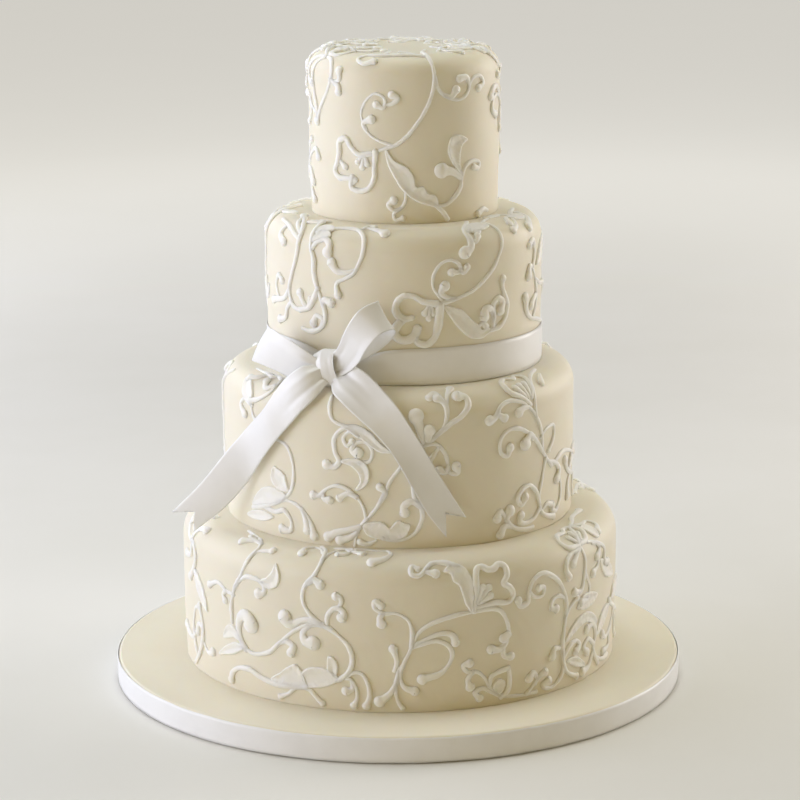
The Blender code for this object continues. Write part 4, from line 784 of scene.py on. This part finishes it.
def grid_faces(rows, columns, closed_rows=False, closed_columns=False):
    """Quads over a grid of points stored row by row."""
    faces = []
    for row in range(rows if closed_rows else rows - 1):
        start = row * columns
        above = (row + 1) % rows * columns
        for column in range(columns if closed_columns else columns - 1):
            after = (column + 1) % columns
            faces.append((start + column, start + after, above + after, above + column))
    return faces


def sheet_faces(rows, columns, closed_rows=False, closed_columns=False):
    """Faces of a thin sheet: a grid, the same grid underneath, and the rims between."""
    faces = grid_faces(rows, columns, closed_rows, closed_columns)
    edges = []
    if not closed_columns:
        for row in range(rows if closed_rows else rows - 1):
            a = row * columns
            b = (row + 1) % rows * columns
            edges += [(a, b), (b + columns - 1, a + columns - 1)]
    if not closed_rows:
        last = (rows - 1) * columns
        for column in range(columns if closed_columns else columns - 1):
            after = (column + 1) % columns
            edges += [(after, column), (last + column, last + after)]
    count = rows * columns
    under = [tuple(count + k for k in reversed(face)) for face in faces]
    return faces + under + [(a, b, count + b, count + a) for a, b in edges]


def round_body(name, rings, foot, crown, slot, node):
    """A piece from rings of SEGMENTS points, closed by a point below and one on top."""
    count = len(rings)
    last = count - SEGMENTS
    faces = grid_faces(count // SEGMENTS, SEGMENTS, closed_columns=True)
    for k in range(SEGMENTS):
        after = (k + 1) % SEGMENTS
        faces += [(after, k, count), (last + k, last + after, count + 1)]
    return make_piece(name, np.vstack([rings, [foot, crown]]), faces, slot, node)


def smooth_curve(points, steps):
    """A centripetal Catmull-Rom curve through the points, as an array."""
    given = np.array(points, float)
    path = np.vstack([2 * given[0] - given[1], given, 2 * given[-1] - given[-2]])
    out = []
    for index in range(1, len(path) - 2):
        p = path[index - 1 : index + 3]
        t = np.zeros(4)
        for k in range(3):
            t[k + 1] = t[k] + math.sqrt(np.linalg.norm(p[k + 1] - p[k]))
        for s in np.linspace(t[1], t[2], steps, endpoint=False):
            level = p
            for reach in (1, 2):
                level = [
                    ((t[k + reach] - s) * level[k] + (s - t[k]) * level[k + 1])
                    / (t[k + reach] - t[k])
                    for k in range(len(level) - 1)
                ]
            out.append(((t[2] - s) * level[0] + (s - t[1]) * level[1]) / (t[2] - t[1]))
    out.append(given[-1])
    return np.array(out)


def run_lengths(path):
    """Length along a path up to each of its points."""
    return np.concatenate([[0], np.cumsum(np.linalg.norm(np.diff(path, axis=0), axis=1))])


def place_along(path, lengths, wanted):
    """Points of a (u, v) path at the wanted lengths along it."""
    return np.stack([np.interp(wanted, lengths, path[:, k]) for k in (0, 1)], axis=1)


# Materials.

# The ones made here, by name: there are others of the same names.
materials = {}


def feed(tree, node, inputs):
    """Sets a node's inputs, named with underscores, to values or to other nodes' outputs."""
    for name, value in inputs.items():
        socket = node.inputs[name.replace("_", " ")]
        if isinstance(value, bpy.types.NodeSocket):
            tree.links.new(value, socket)
        else:
            socket.default_value = value
    return node


def add_node(tree, kind, **inputs):
    return feed(tree, tree.nodes.new(f"ShaderNode{kind}"), inputs)


def add_noise(tree, scale, detail):
    """Object-space noise, as a socket."""
    place = add_node(tree, "TexCoord").outputs["Object"]
    noise_node = add_node(
        tree, "TexNoise", Vector=place, Scale=scale, Detail=detail, Roughness=NOISE_ROUGHNESS
    )
    return noise_node.outputs["Fac"]


def set_ramp(ramp, steps):
    """Sets a colour ramp from (position, colour) pairs."""
    for element, (position, colour) in zip(ramp.color_ramp.elements, steps):
        element.position = position
        element.color = (*colour, 1.0)


def make_material(name, colour, roughness, mottle, bumps=(), **inputs):
    """A principled material with mottled colour and bumps one on top of the other."""
    materials[name] = bpy.data.materials.new(name)
    materials[name].use_nodes = True
    tree = materials[name].node_tree
    shader = tree.nodes["Principled BSDF"]
    feed(tree, shader, dict(Base_Color=(*colour, 1.0), Roughness=roughness, **inputs))
    scale, dark, light = mottle
    ramp = add_node(tree, "ValToRGB", Fac=add_noise(tree, scale, NOISE_DETAIL))
    set_ramp(ramp, zip(MOTTLE_RANGE, (dark, light)))
    tree.links.new(ramp.outputs["Color"], shader.inputs["Base Color"])
    above = shader
    for scale, detail, strength, depth in reversed(bumps):
        height = add_noise(tree, scale, detail)
        bump = add_node(tree, "Bump", Height=height, Strength=strength, Distance=depth * MM)
        tree.links.new(bump.outputs["Normal"], above.inputs["Normal"])
        above = bump


# Tiers and drum.


def make_tier(node, tier, seed):
    """A tier under rolled paste: a wall, a rounded shoulder and a nearly flat top."""
    shoulder_end = tier["wall"] + tier["shoulder"]
    inner = tier["radius"] - tier["rounding"]
    rows = [
        FOOT_ROWS,
        np.linspace(WALL_START, tier["wall"], WALL_ROWS)[:-1],
        np.linspace(tier["wall"], shoulder_end, SHOULDER_ROWS)[:-1],
        np.linspace(shoulder_end, shoulder_end + inner, TOP_ROWS)[:-1],
    ]
    around = np.arange(SEGMENTS) / SEGMENTS * 2 * math.pi * tier["radius"]
    v, u = (grid.ravel() for grid in np.meshgrid(np.concatenate(rows), around, indexing="ij"))
    points, normals = on_tier(tier, u, v)
    lift = unevenness(points, SWELL, seed) + unevenness(points, DIMPLE, seed + 5)
    ragged = unevenness(points * [1, 1, 0], RAGGED, seed + 9)
    lift += np.exp(-v / FOOT_REACH) * (FOOT_SPREAD + ragged)
    points = points + normals * lift[:, None]
    foot = tier["foot"] - FOOT_SUNK
    points[:SEGMENTS, 2] = foot
    crown = points[-SEGMENTS:, 2].mean()
    middle = tier["x"]
    name = f"cake_{node}"
    round_body(name, points, (middle, 0, foot), (middle, 0, crown), "sugar_paste", f"tier_{node}")


def turned(name, profile, slot, node, bumps=(0.0, 1.0), seed=0):
    """A solid of revolution from (radius, z) points that start and end on the axis."""
    profile = np.array(profile, float)
    angles = np.arange(SEGMENTS) / SEGMENTS * 2 * math.pi
    ring = np.stack([np.sin(angles), -np.cos(angles), 0 * angles], axis=-1)
    rings = [ring * radius + [0, 0, z] for radius, z in profile[1:-1]]
    points = np.vstack(rings)
    upper = points[:, 2] > profile[:, 1].mean()
    points[:, 2] += unevenness(points, bumps, seed) * upper
    foot, crown = ((0, 0, z) for z in profile[[0, -1], 1])
    return round_body(name, points, foot, crown, slot, node)


def make_board():
    """Drum, rolled paste and the ribbon round the edge."""
    high = box_in_mm("board_drum")[1]
    radius = high[0]
    top = high[2]
    edge = [(radius - DRUM_BEVEL, DRUM_FOOT), (radius, DRUM_BEVEL), (radius, top)]
    turned("drum", [(0, 0), *edge, (0, top)], "drum_card", "board_drum")
    low, high = box_in_mm("board_paste")
    foot = low[2]
    top = high[2]
    flat = radius - DRUM_ROUNDING
    edge = [
        (flat + DRUM_ROUNDING * math.cos(a), top - DRUM_ROUNDING * (1 - math.sin(a)))
        for a in np.linspace(0, math.pi / 2, DRUM_ROUND_RINGS)
    ]
    edge_gap, middle_gap = DRUM_TOP_RANGE
    rings = [(r, top) for r in np.linspace(flat - edge_gap, middle_gap, DRUM_TOP_RINGS)]
    profile = [(0, foot), (radius, foot), *edge, *rings, (0, top)]
    turned("drum_paste", profile, "sugar_paste", "board_paste", DRUM_SWELL, 3)
    make_round_ribbon("drum_ribbon", "board_ribbon", 4)


def make_round_ribbon(name, node, seed, gathered=None):
    """A ribbon drawn round a drum or a tier, with slightly wavy edges.

    gathered is the angle (from the front, degrees) at which a knot draws it together.
    """
    low, high = box_in_mm(node)
    radius = (high[0] - low[0]) / 2 - RIBBON_INSET
    angles = np.arange(ROUND_COLUMNS) / ROUND_COLUMNS * 2 * math.pi
    shares = np.linspace(0, 1, ROUND_ROWS)
    share, turn = (grid.ravel() for grid in np.meshgrid(shares, angles, indexing="ij"))
    flat = np.stack([np.sin(turn), -np.cos(turn), 0 * turn], axis=-1)
    edge = 2 * share - 1
    out = radius + unevenness(flat * radius, RIBBON_WAVE, seed) - EDGE_TURN * edge**4
    z = low[2] + (high[2] - low[2]) * share
    z += unevenness(flat * radius, RIBBON_EDGE_WAVE, seed + 1) * edge
    if gathered is not None:
        away = (np.degrees(turn) - gathered + 180) % 360 - 180
        drawn = np.exp(-((away / GATHER_SPREAD) ** 2))
        z -= GATHER * drawn * share**GATHER_FADE * (high[2] - low[2])
        out += GATHER_FOLD * drawn * np.cos(share * GATHER_FOLDS + GATHER_SLANT * away)
    sheets = []
    for offset in (0.0, -SATIN_THICKNESS):
        points = flat * (out + offset)[:, None]
        points[:, :2] += (low[:2] + high[:2]) / 2
        points[:, 2] = z
        sheets.append(points)
    faces = sheet_faces(ROUND_ROWS, ROUND_COLUMNS, closed_columns=True)
    obj = make_piece(name, np.vstack(sheets), faces, "satin_ribbon", node)


# Bow.


def make_strip(name, pairs, camber, folds, held, notched=False):
    """A strip of the bow's ribbon between two edges, as a thin closed sheet.

    folds holds (place across, depth, length): a crease that starts at the knot and dies
    out after that share of the strip's length.
    """
    one, other = (smooth_curve(edge, STRIP_STEPS) for edge in zip(*pairs))
    lengths = run_lengths((one + other) / 2)
    share = lengths / lengths[-1]
    across = np.linspace(0, 1, STRIP_COLUMNS)
    weight = across[None, :, None]
    points = one[:, None, :] * (1 - weight) + other[:, None, :] * weight
    if notched:
        width = np.linalg.norm(other[-1] - one[-1])
        heading = unit((points[-1] - points[-1 - HEADING_ROWS])[STRIP_COLUMNS // 2])
        dent = NOTCH * width * (1 - np.abs(2 * across - 1))
        pull = np.maximum(dent - (lengths[-1] - lengths)[:, None], 0)
        points -= heading * pull[:, :, None]
    face = unit(np.cross(np.gradient(points, axis=0), np.gradient(points, axis=1)))
    lift = camber * (1 - (2 * across - 1) ** 2) * np.ones((len(one), 1))
    for place, depth, length in folds:
        fade = np.clip(1 - share / length, 0, 1) ** FOLD_FADE
        lift += depth * fade[:, None] * np.exp(-(((across - place) / FOLD_WIDTH) ** 2))
    sheets = [
        (points + face * (lift[:, :, None] + side * SATIN_THICKNESS / 2)).reshape(-1, 3)
        for side in (1, -1)
    ]
    faces = sheet_faces(len(one), STRIP_COLUMNS)
    obj = make_piece(name, np.vstack(sheets), faces, "satin_ribbon", "ribbon_bow")


def make_knot():
    """The wrap of ribbon round the middle of the bow, gathered into soft folds."""
    angles = np.arange(KNOT_ROWS) / KNOT_ROWS * 2 * math.pi
    turn, across = np.meshgrid(angles, np.linspace(-1, 1, KNOT_COLUMNS), indexing="ij")
    half_width, depth, height = KNOT_HALF
    whole, less = KNOT_WIDTH
    fold = sum(
        lift * np.cos(across * rate + shift + sway * np.sin(turn))
        for lift, rate, shift, sway in KNOT_FOLDS
    )
    barrel = 1 - KNOT_BARREL * across**2
    local = [
        across * half_width * (whole - less * np.cos(turn)),
        -(depth * barrel + fold) * np.cos(turn),
        (height * barrel + fold) * np.sin(turn),
    ]
    tilt = np.array(Euler(np.radians(KNOT_TURN)).to_matrix())
    outer = np.stack(local, axis=-1).reshape(-1, 3) @ tilt.T
    points = KNOT_CENTRE + np.vstack([outer, outer * KNOT_INSIDE])
    faces = sheet_faces(KNOT_ROWS, KNOT_COLUMNS, closed_rows=True)
    rims = 2 * KNOT_ROWS  # the last faces, turned so that they draw the knot's edges darker
    faces[-rims:] = [face[::-1] for face in faces[-rims:]]
    obj = make_piece("bow_knot", points, faces, "satin_ribbon", "ribbon_bow")


# Piping.


class Piping:
    """Collects piped strokes on one tier into one mesh."""

    def __init__(self, tier, turn, seed):
        self.tier = tier
        self.shift = math.radians(turn) * tier["radius"]
        self.random = np.random.RandomState(seed)
        self.points = []
        self.faces = []
        self.count = 0

    def add(self, points, faces):
        """Adds the points and faces of one stroke."""
        self.points.append(points)
        self.faces += [tuple(self.count + k for k in reversed(face)) for face in faces]
        self.count += len(points)

    def surface(self, path):
        """Points and normals on the tier along a path."""
        return on_tier(self.tier, path[:, 0] + self.shift, path[:, 1])

    def wander(self, count, wave):
        """Slow noise for so many sections, from a wave's height and its own sections."""
        height, period = wave
        knots = self.random.uniform(-1, 1, count // period + 4)
        place = np.arange(count) / period
        base = place.astype(int)
        part = place - base
        part = part * part * (3 - 2 * part)
        return height * (knots[base] * (1 - part) + knots[base + 1] * part)

    def line(self, points, half, end):
        """A line that swells and thins, and ends in a rolled bud or a soft point."""
        half = half * LINE_SHARE
        radius = end * BUD_SHARE
        tip = max(radius, half)
        given = np.array(points, float)
        margin = np.full(len(given), half)
        margin[-1] = tip
        ledge = self.tier["wall"] + self.tier["shoulder"] + self.tier["ledge"]
        given[:, 1] = np.clip(given[:, 1], LOWEST + margin, ledge - margin)
        fine = smooth_curve(given, FINE_STEPS)
        lengths = run_lengths(fine)
        total = lengths[-1]
        even = np.arange(-half * LINE_START, total, STEP)
        s = np.concatenate([[-half], even, total + CAP * tip])
        path = place_along(fine, lengths, s)
        path += unit(fine[END_SPAN] - fine[0]) * np.minimum(s, 0)[:, None]
        path += unit(fine[-1] - fine[-1 - END_SPAN]) * np.maximum(s - total, 0)[:, None]
        width = half * (1 + self.wander(len(s), THICK_THIN) + self.wander(len(s), TREMOR))
        height = width * RELIEF
        if radius:
            tall = min(1.0, BUD_FLAT + BUD_ROUND / radius) * BUD_RELIEF
            near = np.clip((s - (total - COMMA * radius)) / (COMMA * radius), 0, 1)
            width += max(NECK * radius - half, 0) * near**COMMA_POWER
            ball = radius * dome((s - total) / radius)
            height = np.maximum(width * min(RELIEF, tall * BUD_LINE_RELIEF), ball * tall)
            path += self.inward(fine, lengths, radius) * (near**2)[:, None]
            width = np.maximum(np.where(s > total, 0, width), ball)
            height = np.where(s > total, ball * tall, height)
        else:
            soft = dome(np.clip((s - total) / half, 0, 1))
            width *= soft
            height *= soft
        soft = dome(np.clip(-s / half, 0, 1))
        self.sweep(path, np.maximum(width * soft, THINNEST), height * soft + SINK * SINK_SHARE)

    def inward(self, fine, lengths, radius):
        """How far a rolled end is carried to the inside of its curl, as a (u, v) step."""
        at = np.searchsorted(lengths, lengths[-1] - ROLL_LOOK_BACK * radius)
        last = len(fine) - 1
        before = unit(fine[min(at + END_SPAN, last)] - fine[max(at - END_SPAN, 0)])
        after = unit(fine[last] - fine[last - TIP_SPAN])
        turn = before[0] * after[1] - before[1] * after[0]
        side = np.array([-after[1], after[0]])
        return side * np.clip(turn * ROLL_GAIN, -1, 1) * ROLL * radius

    def sweep(self, path, width, height):
        """The closed skin of a line with the given half widths and heights."""
        sway = self.wander(len(path), SWAY)
        points, normals = self.surface(path)
        side = unit(np.cross(normals, np.gradient(points, axis=0)))
        points = points + side * sway[:, None]
        angles = np.radians(np.linspace(SECTION_FROM, SECTION_TO, SECTION_POINTS))
        low = math.sin(angles[0])
        ring = []
        for angle in angles:
            lift = (math.sin(angle) - low) / (1 - low)
            across = side * (width * math.cos(angle))[:, None]
            ring.append(points + across + normals * (height * lift - SINK)[:, None])
        count = len(path)
        faces = grid_faces(count, SECTION_POINTS, closed_columns=True)
        faces.append(range(SECTION_POINTS - 1, -1, -1))
        faces.append(range((count - 1) * SECTION_POINTS, count * SECTION_POINTS))
        self.add(np.stack(ring, axis=1).reshape(-1, 3), faces)

    def leaf(self, sides):
        """A brushed leaf: a thick soft rim, drawn inwards in streaks with a damp brush."""
        fines = [smooth_curve(side, FINE_STEPS) for side in sides]
        lengths = [run_lengths(fine) for fine in fines]
        count = max(int(run[-1] / LEAF_STEP) for run in lengths)
        one, other = (
            place_along(fine, run, np.linspace(0, run[-1], count))
            for fine, run in zip(fines, lengths)
        )
        gap = np.linalg.norm(one - other, axis=1)[:, None]
        out = unit(one - other)
        steps = np.arange(count)
        ends = dome(1 - np.clip(np.minimum(steps, count - 1 - steps) / LEAF_ENDS, 0, 1))[:, None]
        rims = LEAF_RIM * np.maximum(ends, LEAF_END_RIM)
        one = one + out * rims * (1 + self.wander(count, RIM_WAVER))[:, None]
        other = other - out * rims * (1 + self.wander(count, RIM_WAVER))[:, None]
        across = 0.5 - 0.5 * np.cos(np.linspace(0, math.pi, LEAF_COLUMNS))
        weight = across[None, :, None]
        grid = one[:, None] * (1 - weight) + other[:, None] * weight
        reach = np.minimum(across, 1 - across) * (gap + 2 * rims)
        hollow, fall = LEAF_HOLLOW
        inside = 1 - hollow * np.clip((reach - rims) / fall, 0, 1)
        inner = np.where(reach > rims, inside, dome((reach - rims) / rims))
        left = np.clip(1 - across * 2, 0, 1)
        right = np.clip(across * 2 - 1, 0, 1)
        streaks = [self.wander(count, wave)[:, None] for wave in STREAKS]
        ripple = sum(s * w for s, w in zip(streaks, (left, right, 1 - left - right)))
        rise = LEAF_END_LIFT + (1 - LEAF_END_LIFT) * ends
        lift = LEAF_HEIGHT * inner * (1 + ripple) * rise
        flat = grid.reshape(-1, 2)
        flat[:, 1] = np.maximum(flat[:, 1], LEAF_LOWEST)
        points, normals = self.surface(flat)
        points = points + normals * (lift.reshape(-1, 1) - LEAF_SINK)
        self.add(points, grid_faces(count, LEAF_COLUMNS))


def make_piping(name, tiers, spray, seed, turn=0.0, *nodes):
    """A spray on the tier that its name starts with, turned round by so many degrees."""
    piping = Piping(tiers[spray.split("_")[0]], turn, seed)
    for stroke in SPRAYS.get(spray) or SMALL_SPRAYS[spray]:
        if "sides" in stroke:
            piping.leaf(**stroke)
        else:
            piping.line(**stroke)
    make_piece(name, np.vstack(piping.points), piping.faces, "royal_icing", *nodes)


# Stage.


def make_world():
    """A dim studio: slightly warm before the cake, and pale behind it."""
    world = bpy.data.worlds.new("studio")
    world.use_nodes = True
    tree = world.node_tree
    place = add_node(tree, "TexCoord").outputs["Generated"]
    back = add_node(tree, "SeparateXYZ", Vector=place).outputs["Y"]
    share = add_node(tree, "MapRange", Value=back, From_Min=-1.0, From_Max=1.0)
    ramp = add_node(tree, "ValToRGB", Fac=share.outputs["Result"])
    ramp.color_ramp.interpolation = "EASE"
    ramp.color_ramp.elements.new(0.5)
    set_ramp(ramp, WORLD)
    feed(tree, tree.nodes["Background"], dict(Color=ramp.outputs["Color"]))
    bpy.context.scene.world = world


def make_floor():
    """A plain floor that glows far from the cake."""
    tree = materials["pale_floor"].node_tree
    length = tree.nodes.new("ShaderNodeVectorMath")
    length.operation = "LENGTH"
    tree.links.new(add_node(tree, "NewGeometry").outputs["Position"], length.inputs[0])
    away = length.outputs["Value"]
    fade = add_node(
        tree, "MapRange", Value=away, From_Min=GLOW_START, From_Max=GLOW_FULL, To_Max=GLOW
    )
    fade.interpolation_type = "SMOOTHSTEP"
    glow = dict(Emission_Strength=fade.outputs["Result"], Emission_Color=(*GLOW_COLOUR, 1.0))
    feed(tree, tree.nodes["Principled BSDF"], glow)
    corners = [(-1, -1, 0), (1, -1, 0), (1, 1, 0), (-1, 1, 0)]
    floor = make_object("floor", FLOOR_HALF * np.array(corners), [(0, 1, 2, 3)], "pale_floor")


def make_lamps():
    """Square soft lamps round the cake, unseen by the camera."""
    aim = Vector(LIGHT_AIM) * MM
    for name, place, size, power, colour in LIGHTS:
        data = bpy.data.lights.new(name, "AREA")
        data.shape = "SQUARE"
        data.size = size * MM
        data.energy = power
        data.color = colour
        lamp = bpy.data.objects.new(name, data)
        lamp.location = Vector(place) * MM
        lamp.rotation_euler = (aim - lamp.location).to_track_quat("-Z", "Y").to_euler()
        lamp.visible_camera = False
        bpy.context.collection.objects.link(lamp)


def make_camera():
    """The camera, turned down to the cake, a little sideways and about its own axis."""
    data = bpy.data.cameras.new("camera")
    data.lens = CAMERA_LENS
    data.sensor_width = CAMERA_SENSOR
    data.clip_start, data.clip_end = CAMERA_CLIP
    camera = bpy.data.objects.new("camera", data)
    down, yaw, roll = (math.radians(a) for a in (CAMERA_DOWN, CAMERA_YAW, CAMERA_ROLL))
    flat = Vector((math.sin(yaw), math.cos(yaw), 0.0))
    ahead = flat * math.cos(down) - Vector((0, 0, math.sin(down)))
    level = Vector((math.cos(yaw), -math.sin(yaw), 0.0))
    up = level.cross(ahead)
    right = level * math.cos(roll) + up * math.sin(roll)
    up = up * math.cos(roll) - level * math.sin(roll)
    columns = [right, up, -ahead, Vector(CAMERA_PLACE) * MM]
    camera.matrix_world = Matrix([column.to_4d() for column in columns]).transposed()
    bpy.context.collection.objects.link(camera)
    bpy.context.scene.camera = camera


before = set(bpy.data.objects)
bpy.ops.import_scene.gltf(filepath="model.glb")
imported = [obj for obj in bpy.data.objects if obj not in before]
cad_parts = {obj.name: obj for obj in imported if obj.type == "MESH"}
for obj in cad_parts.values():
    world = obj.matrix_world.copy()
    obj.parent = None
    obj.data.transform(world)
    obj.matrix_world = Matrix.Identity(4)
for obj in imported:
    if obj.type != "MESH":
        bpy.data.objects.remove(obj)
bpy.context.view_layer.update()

for name, look in MATERIALS.items():
    make_material(name, **look)

tiers = {node: tier_frame(node) for node in TIER_SHAPES}
make_board()
for number, (node, tier) in enumerate(tiers.items()):
    make_tier(node, tier, SEED + number)

make_round_ribbon("band", "ribbon_band", 8, GATHER_ANGLE)
for strip in STRIPS:
    make_strip(*strip)
make_knot()

for number, spray in enumerate(SPRAYS):
    seed = SEED * 100 + number
    make_piping(f"scroll_{spray}", tiers, spray, seed, 0.0, f"piping_{spray}")
for number, spray in enumerate(["base_ledge", "third_far_left"]):
    make_piping(f"scroll_{spray}", tiers, spray, SEED * 300 + number)
for number, (spray, turn) in enumerate(BACK + TURNED):
    nodes = [f"piping_{spray}_back"] if number < len(BACK) else []
    make_piping(f"scroll_turned_{number}", tiers, spray, SEED * 200 + number, turn, *nodes)

make_floor()
make_world()
make_lamps()
bpy.context.scene.view_settings.view_transform = "Standard"
make_camera()
